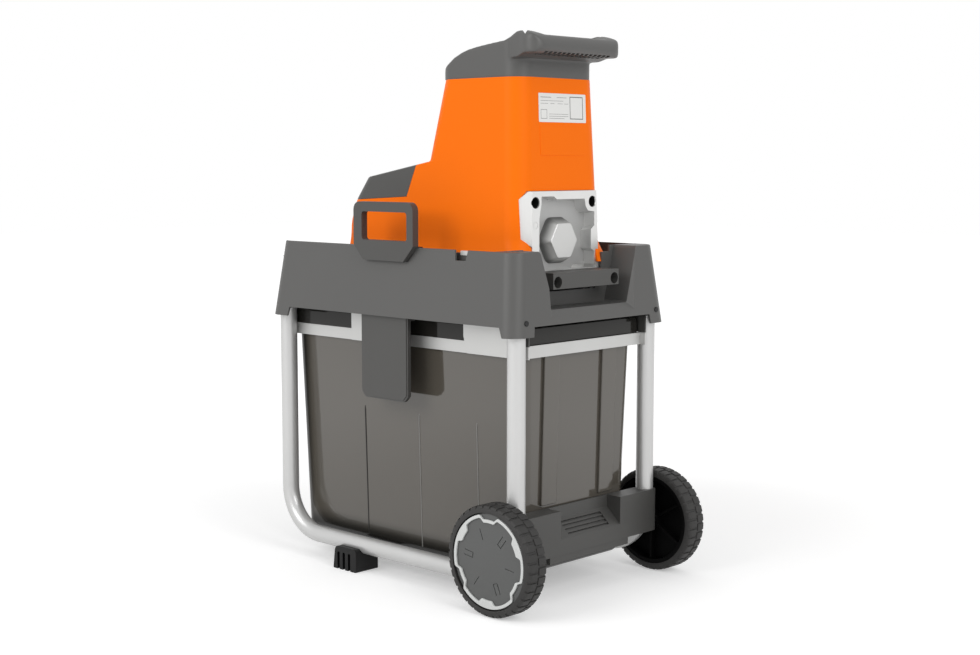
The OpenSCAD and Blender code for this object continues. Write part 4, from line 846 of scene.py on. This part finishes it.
gap_front, front_slant, gap_back, back_slant = -251 * MM, 4.8 * MM, 276 * MM, 7.4 * MM
side_gap = [(gap_front, ear_z - clear), (gap_front, ear_z), (gap_front + front_slant, skirt_z),
            (gap_back - back_slant, skirt_z), (gap_back, ear_z), (gap_back, ear_z - clear)]
side_gap = [(deck_mid + y, z) for y, z in side_gap]
carved(deck, prism(side_gap, "X", -beyond, beyond))
end_half = tube_x - tube_r + 0.4 * MM
for slant, reach in ((4 * MM, beyond), (0.0, -beyond)):
    end_gap = mirrored([(end_half, ear_z - clear), (end_half - slant, skirt_z)])
    carved(deck, prism(end_gap, "Y", deck_mid, deck_mid + reach))
pocket_face = deck_mid + pocket_y
unit_half, unit_front = 88 * MM, deck_mid - 36 * MM
opening = box_outline((-unit_half, unit_front), (unit_half, pocket_face + 1 * MM))
carved(deck, prism(opening, "Z", tray_z - 10 * MM, rim_z + clear))
window_near, window_far, window_low = 80 * MM, 72 * MM, 502 * MM
shelf_half, shelf_z = 108 * MM, rim_z - 11 * MM
window = [(window_near, window_low), (window_near, shelf_z), (shelf_half, shelf_z),
          (shelf_half, rim_z + clear), (-shelf_half, rim_z + clear), (-shelf_half, shelf_z),
          (-window_far, shelf_z), (-window_far, window_low)]
window = prism(window, "Y", pocket_face - 8 * MM, pocket_face + 1 * MM)
carved(deck, window)

loop_low, loop_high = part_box("latch_slider")
loop_mid = (loop_low.y + loop_high.y) / 2 + 4 * MM
loop_t, loop_gap = 24 * MM, 0.4 * MM
loop_seat = tray_z + 3 * MM
seat_low, seat_top, seat_shoulder = 51 * MM, 73.5 * MM, loop_seat + 26 * MM
seat_back = loop_high.x - loop_t - loop_gap
seat = mirrored([(seat_low, loop_seat - loop_gap), (seat_top, seat_shoulder), (seat_top, rim_z + clear)])
seat = [(loop_mid + y, z) for y, z in seat]
carved(deck, prism(seat, "X", seat_back, beyond))
tongue_y0, tongue_y1, tongue_gap = -95.75 * MM, 19.25 * MM, 0.45 * MM
stem_t = 8 * MM
stem = box_outline((seat_back, tongue_y0 - tongue_gap),
                   (seat_back + stem_t + 2 * loop_gap, tongue_y1 + tongue_gap))
carved(deck, prism(stem, "Z", tray_z - 2 * clear, tray_z + clear))

notch_start, notch_end = deck_mid + 157 * MM, deck_mid + 186 * MM
notch_floor, notch_corner = rim_z - 17 * MM, 3 * MM
notch_outline = [(notch_start + notch_corner, notch_floor), (notch_end - notch_corner, notch_floor),
                 (notch_end, rim_z - notch_corner), (notch_end, rim_z + clear),
                 (notch_start, rim_z + clear), (notch_start, rim_z - notch_corner)]
wall_out = deck_half(rim_z)[0]
carved(deck, prism(notch_outline, "X", wall_out - 12 * MM, beyond))
notch_back = box_outline((notch_start - 32 * MM, tray_z - 1 * MM), (notch_end + 6 * MM, rim_z - 5 * MM))
notch_back = prism(notch_back, "X", wall_out - 16 * MM, wall_out - 11 * MM)
carved(deck, notch_back, "UNION")
deck_grey = material("mid grey deck plastic", (0.084, 0.083, 0.080), 0.44, grain=0.10, grain_size=0.9,
                     mottle=0.04, mottle_size=160)
fitted(rounded_edges(deck, 1.3), deck_grey, "frame", "grey_plastic", "deck")

web_low, web_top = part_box("rear_bar")[1].z + 0.6 * MM, skirt_z + 2 * MM
rail_low, rail_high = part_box("side_rail_right")
for sign, side in ((1, "right"), (-1, "left")):
    clip = box_outline((rail_high.y - 2.4 * MM, web_low), (rail_high.y + 12 * MM, web_top))
    cheek = box_outline((rail_high.y - 22 * MM, web_low), (rail_high.y, web_top))
    web = joined("deck_corner_web_" + side, [
        prism(clip, "X", sign * rail_low.x, sign * (rail_low.x + strip_t)),
        prism(cheek, "X", sign * (rail_high.x - 2.2 * MM), sign * (rail_high.x - 0.4 * MM))])
    fitted(rounded_edges(web, 0.3), grey_moulding, "frame", "grey_plastic")
tab = box_outline((notch_start + 3 * MM, rim_z - 9 * MM), (notch_end - 4 * MM, rim_z - 1.5 * MM))
tab = prism(rounded_outline(tab, 1.5 * MM, 3), "X", wall_out - 13 * MM, wall_out - 9 * MM)
fitted(rounded_edges(piece_from("deck_notch_tab", tab), 0.5), sheet_metal, "frame", "tube")
black_screw = material("black oxide steel", (0.007, 0.007, 0.007), 0.46, grain=0.06, grain_size=0.5,
                       mottle=0.1, specular=0.35)
dressed("deck_screws", 0.5, black_screw, "frame", "black_steel")


# Latch slider: a dark grey loop handle seated in a notch of the deck's wall, with a flat tongue that
# drops behind the skirt beside the drawer. The whole moulding lifts straight up.
loop_out, loop_in = loop_high.x, loop_high.x - loop_t
loop_foot, loop_half, loop_top = 49.5 * MM, 73 * MM, loop_high.z
loop_shoulder = seat_shoulder - 0.6 * MM
loop_outline = mirrored([(loop_foot, loop_seat), (loop_half, loop_shoulder), (loop_half, loop_top)])
loop_outline = [(loop_mid + y, z) for y, z in loop_outline]
loop_outline = rounded_outline(loop_outline, [r * MM for r in (4, 4, 14, 14, 4, 4)])
loop = piece_from("latch_slider_loop", prism(loop_outline, "X", loop_in, loop_out))
grip_low, grip_top = loop_seat + 34 * MM, loop_top - 16.5 * MM
grip_front, grip_back = loop_mid - loop_half + 20.5 * MM, loop_mid + loop_half - 15 * MM
grip = rounded_outline(box_outline((grip_front, grip_low), (grip_back, grip_top)), 5 * MM)
carved(loop, prism(grip, "X", loop_in - clear, loop_out + clear))
ring_back = box_outline((loop_mid - beyond, rim_z + 1 * MM), (loop_mid + beyond, loop_top + clear))
carved(loop, prism(ring_back, "X", loop_in - clear, loop_in + 11 * MM))
rounded_edges(loop, 3.0, segments=3)
tongue_out, tongue_t = 184 * MM, 8 * MM
tongue_face = tongue_out - 1.2 * MM
tongue_low = loop_low.z
jog_z, jog_h = skirt_z + 6 * MM, 12 * MM
toe = 10 * MM
tongue_outline = [(tongue_y0 + toe, tongue_low), (tongue_y1 - toe, tongue_low), (tongue_y1, tongue_low + toe),
                  (tongue_y1, jog_z), (tongue_y0, jog_z), (tongue_y0, tongue_low + toe)]
tongue_outline = rounded_outline(tongue_outline, [r * MM for r in (8, 6, 6, 0, 0, 8)])
tongue = piece_from("latch_slider_tongue", prism(tongue_outline, "X", tongue_out - tongue_t, tongue_face))
field_front, field_edge = tongue_y0 + 24 * MM, 3 * MM
field = [(field_front, tongue_low + field_edge), (tongue_y1 - toe - 1 * MM, tongue_low + field_edge),
         (tongue_y1 - field_edge, tongue_low + toe + 2 * MM), (tongue_y1 - field_edge, jog_z),
         (field_front, jog_z)]
carved(tongue, prism(field, "X", tongue_out - 4 * MM, tongue_out), "UNION")
for out, top in ((loop_in + stem_t, loop_seat + 10 * MM), (tongue_face, jog_z)):
    stem = box_outline((loop_in, tongue_y0), (out, tongue_y1))
    carved(tongue, prism(stem, "Z", jog_z - jog_h, top), "UNION")
rounded_edges(tongue, 0.9)
fitted(loop, grey_moulding, "latch", "grey_plastic", "latch_slider")
fitted(tongue, grey_moulding, "latch", "grey_plastic")


# Hopper body: an orange moulded shell in one piece, funnel behind and motor hump in front, with a foot
# that flares on to the deck. The rear is open for the cutter's casting; a dark cover caps the hump.
body_low, body_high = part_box("hopper_body")
seam_z = body_high.z
body_z = body_low.z
body_h = seam_z - body_z
seam_half = 99.5 * MM
seam_front, seam_back = 7.25 * MM, 190.25 * MM
body_flare, body_slope = 11.5 * MM, 63 * MM
foot_flare, flare_h, foot_tighter = 8 * MM, 42 * MM, 16 * MM
hump_front = body_low.y
hump_corner, hopper_corner = 25 * MM, 34 * MM
shell_wall = 3.5 * MM
hump_rise = 0.178
knee = (hump_front, body_z + 60 * MM)
brow = (hump_front + 14 * MM, body_z + 101 * MM)
edge = (hump_front + 44 * MM, body_z + 141 * MM)
lean = body_slope / body_h
meet_y = (seam_front - lean * (seam_z - edge[1] + hump_rise * edge[0])) / (1 - lean * hump_rise)
meet = (meet_y, edge[1] + hump_rise * (meet_y - edge[0]))
line = [(hump_front, body_z), knee, brow, edge, meet, (seam_front, seam_z)]
front_line = [line[0]]
for k, radius in ((1, 60 * MM), (2, 45 * MM), (3, 11 * MM), (4, 5 * MM)):
    front_line += corner_points(line, k, radius, 6)
front_line.append(line[-1])


def filled_in(points, reach):
    """Adds points on long straight stretches, so that no step in height is larger than the reach."""
    made = [points[0]]
    for here, there in zip(points, points[1:]):
        across, up = there[0] - here[0], there[1] - here[1]
        count = max(1, math.ceil(up / reach))
        for k in range(1, count + 1):
            made.append((here[0] + across * k / count, here[1] + up * k / count))
    return made


front_line = filled_in(front_line, 8 * MM)


def shell_row(y, z, inset):
    """Ring of the shell at a height, drawn in by an inset."""
    out = body_flare * (seam_z - z) / body_h
    flare = foot_flare * max(0.0, 1 - (z - body_z) / flare_h) ** 1.5
    rise = max(0.0, min(1.0, (z - meet[1]) / (seam_z - meet[1])))
    r_front = hump_corner + (hopper_corner - hump_corner) * rise - inset
    r_back = hopper_corner - foot_tighter * flare / foot_flare - inset
    reach = out + flare - inset
    return rect_row(seam_half + reach, y, seam_back + reach, r_front, r_back, z, steps=12)


rows, inner_rows = [], []
for k, (y, z) in enumerate(front_line):
    before, after = Vector(front_line[max(k - 1, 0)]), Vector(front_line[min(k + 1, len(front_line) - 1)])
    along = (after - before).normalized()
    in_y, in_z = y + shell_wall * along.y, z - shell_wall * along.x
    rows.append(shell_row(y, z, 0.0))
    inner_rows.append(shell_row(in_y, z if k in (0, len(front_line) - 1) else in_z, shell_wall))
skin = piece_from("hopper_body_shell", loft(rows + inner_rows[::-1] + rows[:1], close_ends=False))
trim_low = (deck_mid - 31.5 * MM, 654 * MM)
trim_top = (deck_mid - 4.0 * MM, body_z + 175 * MM)
trim_slope = 0.055


def trim_outline(gap):
    """Outline of the dark cover seen from the side, shrunk by a gap."""
    ahead = hump_front - 20 * MM
    return [(trim_low[0] - gap, trim_low[1] + gap), (trim_top[0] - gap, trim_top[1]), (ahead, trim_top[1]),
            (ahead, trim_low[1] + gap - trim_slope * (trim_low[0] - ahead))]


cover = bpy.data.objects.new("motor_cover_cap", skin.data.copy())
scene.collection.objects.link(cover)
carved(cover, prism(trim_outline(0.5 * MM), "X", -beyond, beyond), "INTERSECT")
carved(skin, prism(trim_outline(0.0), "X", -beyond, beyond))
casting_low, casting_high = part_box("cutter_cover")
cast_half, wing, cast_gap = 79 * MM, 16 * MM, 0.6 * MM
wing_side = [(cast_half - 4 * MM, casting_low.z), (cast_half - 2 * MM, casting_low.z + 36 * MM),
             (cast_half + 6 * MM, casting_low.z + 43 * MM), (cast_half + wing, casting_low.z + 51 * MM),
             (cast_half + wing, casting_high.z - 13 * MM), (cast_half + 4 * MM, casting_high.z)]
opening = [(cast_half + cast_gap, casting_low.z - 20 * MM)]
opening += [(max(x, cast_half) + cast_gap, z) for x, z in wing_side[1:5]]
opening.append((cast_half + 4 * MM + cast_gap, casting_high.z + cast_gap))
rear_cut = prism(mirrored(opening), "Y", casting_low.y - 6 * MM, casting_high.y + 60 * MM)
carved(skin, rear_cut)
panel_low, panel_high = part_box("switch_panel")
frame_w = 5 * MM
panel_hole = box_outline((panel_low.x + frame_w, panel_low.z + frame_w),
                         (panel_high.x - frame_w, panel_high.z - frame_w))
panel_hole = prism(panel_hole, "Y", hump_front - clear, hump_front + 50 * MM)
carved(skin, panel_hole)
screw_low, screw_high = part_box("adjuster_screw")
screw_y, screw_z = (screw_low.y + screw_high.y) / 2, (screw_low.z + screw_high.z) / 2
carved(skin, cylinder("X", (screw_y, screw_z), 9 * MM, -beyond, 0.0))
orange_paint = (0.97, 0.174, 0.004)
orange = material("orange moulded plastic", orange_paint, 0.40, grain=0.05, grain_size=1.0, mottle=0.03,
                  mottle_size=150, specular=0.07)
fitted(rounded_edges(skin, 0.7), orange, "frame", "orange_plastic", "hopper_body")
fitted(rounded_edges(cover, 0.8), grey_moulding, "frame", "grey_plastic", "motor_cover")


# Hopper collar: a dark grey moulding on the funnel's mouth. Its rim rises to the rear, where it runs out
# into a thick push handle with a ribbed underside.
collar_low, collar_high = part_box("hopper_collar")
collar_half, handle_half = seam_half - 2 * MM, collar_high.x
collar_front, handle_back = collar_low.y, collar_high.y
base, top = collar_low.z, collar_high.z
collar_wall = 7 * MM
mouth_back = seam_back - 2 * collar_wall
handle_front = mouth_back - 8 * MM
handle_top, handle_under = base + 65 * MM, base + 35 * MM
wall_front, wall_base = collar_front - 5 * MM, base - 6 * MM
wall_line = [(wall_front, wall_base), (seam_back, wall_base)]
for ahead, drop in ((0, 0), (11.5, 4.2), (21, 8.4), (33.5, 13.4)):
    wall_line.append((seam_back - ahead * MM, top - drop * MM))
for along, height in ((115, 55), (89, 51.7), (66, 47.7), (49, 42.6), (32, 35), (21.5, 27.5), (6, 20),
                      (-2, 11)):
    wall_line.append((collar_front + along * MM, base + height * MM))
wall_plan = rounded_outline(box_outline((-collar_half, wall_front), (collar_half, seam_back)), 32 * MM, 10)
handle_line = [(handle_front, handle_under - 6 * MM), (seam_back + 3 * MM, handle_under - 5 * MM),
               (seam_back + 16 * MM, handle_under), (handle_back - 10 * MM, handle_under),
               (handle_back, handle_under + 8 * MM), (handle_back, handle_top - 16 * MM)]
for ahead, drop in ((2.5, 16), (7, 10), (14, 5.5), (24, 2), (34, 0)):
    handle_line.append((handle_back - ahead * MM, top - drop * MM))
handle_line += [(seam_back, top), (handle_front, top - 9 * MM)]
handle_end = [(handle_half, base), (handle_half, top - 14 * MM), (handle_half - 2 * MM, top - 7 * MM),
              (handle_half - 6 * MM, top - 2.5 * MM), (handle_half - 13 * MM, top + 0.5 * MM)]
handle_plan = [(collar_half - 1 * MM, handle_front), (handle_half - 5 * MM, seam_back + 6 * MM),
               (handle_half, seam_back + 22 * MM), (handle_half, handle_back)]
handle_plan = rounded_outline(mirrored(handle_plan), [r * MM for r in (2, 30, 8, 22, 22, 8, 30, 2)], 8)
parts = []
for half, side_line, plan in ((collar_half, wall_line, wall_plan), (handle_half, handle_line, handle_plan)):
    part = piece_from("hopper_collar_handle", prism(side_line, "X", -half, half))
    carved(part, prism(plan, "Z", base - 2 * clear, top + clear), "INTERSECT")
    parts.append(part)
collar, handle = parts
round_ends = prism(mirrored(handle_end), "Y", mouth_back - 2 * clear, handle_back + 2 * clear)
carved(handle, round_ends, "INTERSECT")
carved(collar, handle, "UNION")
mouth_half = collar_half - collar_wall
mouth = box_outline((-mouth_half, collar_front + collar_wall), (mouth_half, mouth_back))
mouth = prism(rounded_outline(mouth, 25 * MM, 8), "Z", base - 2 * clear, top + clear)
carved(collar, mouth)
saddle = mirrored([(76 * MM, handle_top), (97 * MM, top + 2 * MM)])
saddle = rounded_outline(saddle, [12 * MM, 0, 0, 12 * MM])
carved(collar, prism(saddle, "Y", mouth_back - 2 * MM, handle_back + clear))
remesh = collar.modifiers.new("one skin", "REMESH")
remesh.mode = "VOXEL"
remesh.voxel_size = 1.6 * MM
smooth = collar.modifiers.new("soft edges", "SMOOTH")
smooth.factor = 0.5
smooth.iterations = 24
baked(collar)
foot_cut = prism(box_outline((-beyond, -beyond), (beyond, beyond)), "Z", base - 50 * MM, base)
carved(collar, foot_cut)
grip_count, grip_pitch, grip_half = 15, 11 * MM, 3.8 * MM
grip_pocket = box_outline((-grip_half, seam_back + 14 * MM), (grip_half, handle_back - 6 * MM))
pocket = piece_from("pocket", prism(grip_pocket, "Z", handle_under - 10 * MM, handle_under + 15 * MM))
pockets = copies_of("pockets", pocket, grip_count, grey_moulding, step=(grip_pitch, 0, 0),
                    place=(-grip_pitch * (grip_count - 1) / 2, 0, 0))
carved(collar, pockets)
groove_place, groove_way = (82.6 * MM, seam_back), Vector((0.735, 0.673))
groove_half, groove_deep = 5 * MM, 7 * MM
for sign in (1, -1):
    levels = []
    for reach in (-24 * MM, 60 * MM):
        x, y = groove_place[0] + groove_way.x * reach, groove_place[1] + groove_way.y * reach
        aside = (groove_way.y * groove_half, -groove_way.x * groove_half)
        levels.append([(sign * (x + aside[0]), y + aside[1], top + 1 * MM), (sign * x, y, top - groove_deep),
                       (sign * (x - aside[0]), y - aside[1], top + 1 * MM)])
    carved(collar, loft(levels))
fitted(rounded_edges(collar, 0.0, angle=36), deck_grey, "frame", "grey_plastic", "hopper_collar")

black_chute = material("black chute plastic", (0.012, 0.012, 0.012), 0.5, grain=0.08, grain_size=0.8,
                       mottle=0.1)
dressed("feed_chute", 0.0, black_chute, "frame", "black_plastic")


# Rating plate: a thin white plate stuck on the rear wall, with ruled grey lines, one empty frame and one
# empty square printed on it. A faint raised panel of the orange shell lies below it.
plate_low, plate_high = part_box("rating_plate")
plate_lean = math.atan2(body_flare, body_h)
plate_mid = (plate_low + plate_high) / 2
plate_out = Vector((0.0, math.cos(plate_lean), math.sin(plate_lean)))
plate_up = Vector((0.0, -math.sin(plate_lean), math.cos(plate_lean)))
plate_half = ((plate_high.x - plate_low.x) / 2, 23.5 * MM)
plate_face = 0.4 * MM


def plate_block(low, high, start, end, r=0.0):
    """Flat block on the plate; corners in millimetres from its middle, X to the viewer's right."""
    outline = box_outline([c * MM for c in low], [c * MM for c in high])
    outline = rounded_outline(outline, r * MM, 4) if r > 0 else outline
    rows = []
    for depth in (start, end):
        middle = plate_mid + plate_out * depth
        rows.append([tuple(middle + Vector((-u, 0, 0)) + plate_up * v) for u, v in outline])
    return loft(rows)


label = material("white plate", (0.78, 0.78, 0.76), 0.40, grain=0.0, mottle=0.02)
ink = material("grey print", (0.10, 0.10, 0.10), 0.5, grain=0.0, mottle=0.05)
half_w, half_h = plate_half[0] / MM, plate_half[1] / MM
blank = plate_block((-half_w, -half_h), (half_w, half_h), -plate_face, plate_face - 0.1 * MM, r=1.5)
blank = piece_from("rating_plate_blank", blank)
fitted(rounded_edges(blank, 0.0), label, "frame", "label", "rating_plate")
panel = piece_from("hopper_body_panel", plate_block((-56.5, -77.5), (56.5, -28.5), -2 * MM, 0.1 * MM, r=3))
fitted(rounded_edges(panel, 0.2), orange, "frame", "orange_plastic")
print_depth = (0.2 * MM, plate_face - 0.03 * MM)
rules = [((-54, 16.5), (-28, 17.3)), ((-14, 16.5), (10, 17.1)), ((-54, 11), (2, 11.5)),
         ((-54, 6.5), (-36, 7)), ((-30, 6.5), (-20, 7)), ((-12, 6.5), (0, 7)), ((4, 6.5), (14, 7)),
         ((-34, -10.5), (14, -10)), ((-34, -14), (14, -13.5)), ((-34, -17.5), (4, -17))]
frame_box, frame_line = ((18, -18), (51, 19)), 1.3
square_box, square_line = ((-54, -18), (-39, -3)), 0.6
for low, high, line in ((*frame_box, frame_line), (*square_box, square_line)):
    under, over = low[1] + line, high[1] - line
    rules += [(low, (high[0], under)), ((low[0], over), high), ((low[0], under), (low[0] + line, over)),
              ((high[0] - line, under), (high[0], over))]
printed = joined("rating_plate_rules", [plate_block(low, high, *print_depth) for low, high in rules])
fitted(printed, ink, "frame", "label")


# Cutter cover: a bare aluminium casting in the rear opening, with a recessed face, a hexagonal boss over
# the drum's bearing and two deep bolt sinks. Two black bolts hold it on the cutter housing.
cast_metal = material("bare cast aluminium", (0.72, 0.72, 0.71), 0.36, metal=0.7, grain=0.14, grain_size=0.8,
                      mottle=0.05, mottle_size=40)
cast_front, cast_back = casting_low.y, casting_high.y
cast_low_z, cast_top_z = casting_low.z, casting_high.z
cast_foot_z = cast_low_z - 8 * MM
recess_y = cast_back - 21 * MM
drum_low, drum_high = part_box("cutting_drum")
boss_z = (drum_low.z + drum_high.z) / 2
bolt_low, bolt_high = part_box("cover_bolts")
sink_r = 9.5 * MM
bolt_r = (bolt_high.z - bolt_low.z) / 2
bolt_z = (bolt_low.z + bolt_high.z) / 2
bolt_x = bolt_high.x - bolt_r
cast_outline = [(-cast_half - 10 * MM, cast_foot_z), (cast_half, cast_foot_z), (cast_half, cast_top_z),
                (-cast_half - 2 * MM, cast_top_z)]
casting = piece_from("cutter_cover_casting", prism(cast_outline, "Y", cast_front, cast_back))
wing_plan = mirrored([(cast_half + wing, cast_front), (cast_half + wing, cast_back - wing),
                      (cast_half, cast_back)])
wings = piece_from("wings", prism(wing_plan, "Z", cast_low_z, cast_top_z))
wing_outline = prism(mirrored(wing_side), "Y", cast_front - clear, cast_back + clear)
carved(wings, wing_outline, "INTERSECT")
carved(casting, wings, "UNION")
recess = [(62, -13), (62, 84), (59.5, 96), (57, 107), (57, 119.5), (27, 119.5), (19, 114.5), (-51, 114.5),
          (-54, 102), (-60, 94.5), (-76.5, 92.5), (-76.5, 69), (-68, 63.5), (-68, 31), (-76.5, 26),
          (-76.5, -13)]
recess = [(x * MM, cast_low_z + z * MM) for x, z in recess]
draft = 2.5 * MM
draft_mid, draft_from = 5 * MM, cast_low_z + 60 * MM
levels = []
for y, inset in ((recess_y, draft), (cast_back + 1 * MM, 0.0)):
    level = []
    for x, z in recess:
        level.append((x - math.copysign(inset, x - draft_mid), y, z - inset * (z > draft_from)))
    levels.append(level)
carved(casting, loft(levels))
rounded_edges(casting, 1.1)
# The recess floor is painted far darker than the casting's face: painted shade in the recess.
recess_shade_metal = material("cast aluminium with painted recess shade", (0.41, 0.41, 0.405), 0.46, metal=0.6, grain=0.2, grain_size=0.9,
                     mottle=0.06, mottle_size=40)
floor_rows = []
for y in (recess_y - 2 * MM, recess_y + 0.4 * MM):
    floor_rows.append([(x, y, z) for x, _, z in levels[0]])
floor_plate = piece_from("cutter_cover_floor", loft(floor_rows))
hexagons = []
for y, apothem, r in ((recess_y - 1 * MM, 39 * MM, 17 * MM), (cast_back - 1.4 * MM, 29.2 * MM, 6 * MM),
                      (cast_back, 28 * MM, 5.5 * MM)):
    reach = apothem / math.cos(math.pi / 6)
    turns = [k * math.pi / 3 for k in range(6)]
    corners = [(reach * math.cos(turn), boss_z + reach * math.sin(turn)) for turn in turns]
    hexagons.append([(x, y, z) for x, z in rounded_outline(corners, r, 6)])
# The boss is painted darker than the casting's face and darker still at its foot in the recess: painted
# shade.
shaded_boss_metal = material("cast boss aluminium with painted shade", (0.60, 0.60, 0.59), 0.36, metal=0.7, grain=0.14, grain_size=0.8,
                      mottle=0.05)
painted_shade(shaded_boss_metal, (0.16, 0.16, 0.158), (("Y", cast_back - 2 * MM, recess_y + 3 * MM),))
boss = rounded_edges(piece_from("cutter_cover_boss", loft(hexagons)), 0.6, angle=20)
fitted(boss, shaded_boss_metal, "frame", "cast_metal")
arch_foot, arch_top = cast_foot_z - 1 * MM, cast_low_z + 4 * MM
arch = [(-38 * MM, arch_foot), (-80 * MM, arch_foot), (-80 * MM, arch_top), (-44 * MM, arch_top)]
arch = rounded_outline(arch, [0, 0, 0, 6 * MM])
for solid in (casting, floor_plate):
    carved(solid, prism(arch, "Y", cast_front + 4 * MM, cast_back + clear))
fitted(rounded_edges(floor_plate, 0.0), recess_shade_metal, "frame", "cast_metal")
sinks = [cylinder("Y", (x, bolt_z), sink_r, recess_y, cast_back + clear) for x in (-bolt_x, bolt_x)]
carved(casting, joined("bolt sinks", sinks))
mark = (71 * MM, cast_low_z + 73 * MM)
mark_ring = cylinder("Y", mark, 5.5 * MM, cast_back - 1 * MM, cast_back + clear)
mark_pad = cylinder("Y", mark, 4.9 * MM, cast_back - 2 * MM, cast_back - 0.15 * MM)
carved(casting, mark_ring)
carved(casting, mark_pad, "UNION")
rounded_edges(casting, 0.0, angle=20)
fitted(casting, cast_metal, "frame", "cast_metal", "cutter_cover")
dressed("cover_bolts", 0.5, black_screw, "frame", "black_steel")
for sign, side in ((1, "right"), (-1, "left")):
    place = (sign * bolt_x, bolt_z)
    sleeve = cylinder("Y", place, sink_r, recess_y, cast_back - 2 * MM)
    sleeve = piece_from("cover_bolts_sleeve_" + side, sleeve)
    bore = cylinder("Y", place, sink_r - 1 * MM, recess_y - clear, cast_back)
    carved(sleeve, bore)
    fitted(rounded_edges(sleeve, 0.2), black_screw, "frame", "black_steel")


# Clamp bar: a dark grey moulded bar with soft edges under the casting. Two black screws through it draw
# it up against the deck.
dressed("clamp_bar", 2.0, grey_moulding, "frame", "grey_plastic", segments=3)
dressed("clamp_screws", 0.5, black_screw, "frame", "black_steel")


# Cutting gear, out of sight in the shell: a cast housing with a steel drum on two bearings, and a sliding
# pressure plate that an adjusting screw pushes from the far side.
tool_steel = material("ground tool steel", (0.42, 0.42, 0.42), 0.30, metal=1.0, grain=0.08, grain_size=0.5,
                      mottle=0.06)
bronze = material("sintered bronze", (0.42, 0.25, 0.10), 0.45, metal=0.9, grain=0.15, grain_size=0.4,
                  mottle=0.1)
dressed("cutter_housing", 0.6, cast_metal, "frame", "cast_metal")
for node, body in (("cutting_drum", "drum"), ("drum_shaft", "drum"), ("output_gear", "drum"),
                   ("idler_shaft", "idler"), ("idler_gear", "idler"), ("motor_shaft", "rotor"),
                   ("adjuster_screw", "adjuster")):
    dressed(node, 0.2, tool_steel, body, "steel")
for node in ("drum_bearings", "motor_bearings"):
    dressed(node, 0.2, bright_steel, "frame", "steel")
dressed("pressure_plate", 0.4, cast_metal, "plate", "cast_metal")
dressed("idler_bushes", 0.2, bronze, "frame", "bronze")
dressed("gear_case", 0.5, cast_metal, "frame", "cast_metal")


# Motor, inside the hump: an aluminium housing with a wound stator, a rotor with a plastic fan, and the
# run capacitor beside it.
core_steel = material("laminated core steel", (0.16, 0.16, 0.17), 0.5, metal=0.8, grain=0.2, grain_size=0.5,
                      mottle=0.1)
copper = material("enamelled copper", (0.55, 0.20, 0.06), 0.32, metal=0.9, grain=0.25, grain_size=0.8,
                  mottle=0.15)
can_metal = material("drawn aluminium can", (0.70, 0.70, 0.70), 0.3, metal=0.9, grain=0.04, grain_size=0.5,
                     mottle=0.04)
dressed("motor_housing", 0.4, cast_metal, "frame", "cast_metal")
dressed("motor_end_shield", 0.4, cast_metal, "frame", "cast_metal")
dressed("motor_stator", 0.2, core_steel, "frame", "steel")
dressed("motor_windings", 0.8, copper, "frame", "copper")
dressed("motor_rotor", 0.3, core_steel, "rotor", "steel")
dressed("cooling_fan", 0.3, black_hub, "rotor", "black_plastic")
dressed("capacitor", 0.8, can_metal, "frame", "can")


# Controls: a black panel in the front of the hump with a green and a red push button, a rocker for the
# drum's direction and a recessed mains inlet. The adjusting knob sits on the far side of the shell.
black_panel = material("black control plastic", (0.014, 0.014, 0.014), 0.40, grain=0.10, grain_size=0.8,
                       mottle=0.1)
green_button = material("green button plastic", (0.020, 0.26, 0.050), 0.36, grain=0.04, mottle=0.04)
red_button = material("red button plastic", (0.50, 0.014, 0.010), 0.36, grain=0.04, mottle=0.04)
dressed("switch_panel", 0.8, black_panel, "frame", "black_plastic")
dressed("start_button", 0.8, green_button, "start", "green_plastic")
dressed("stop_button", 0.8, red_button, "stop", "red_plastic")
dressed("direction_rocker", 0.6, black_panel, "rocker", "grey_plastic")
dressed("inlet_socket", 0.6, black_panel, "frame", "grey_plastic")
dressed("adjuster_knob", 0.8, black_panel, "adjuster", "black_plastic")
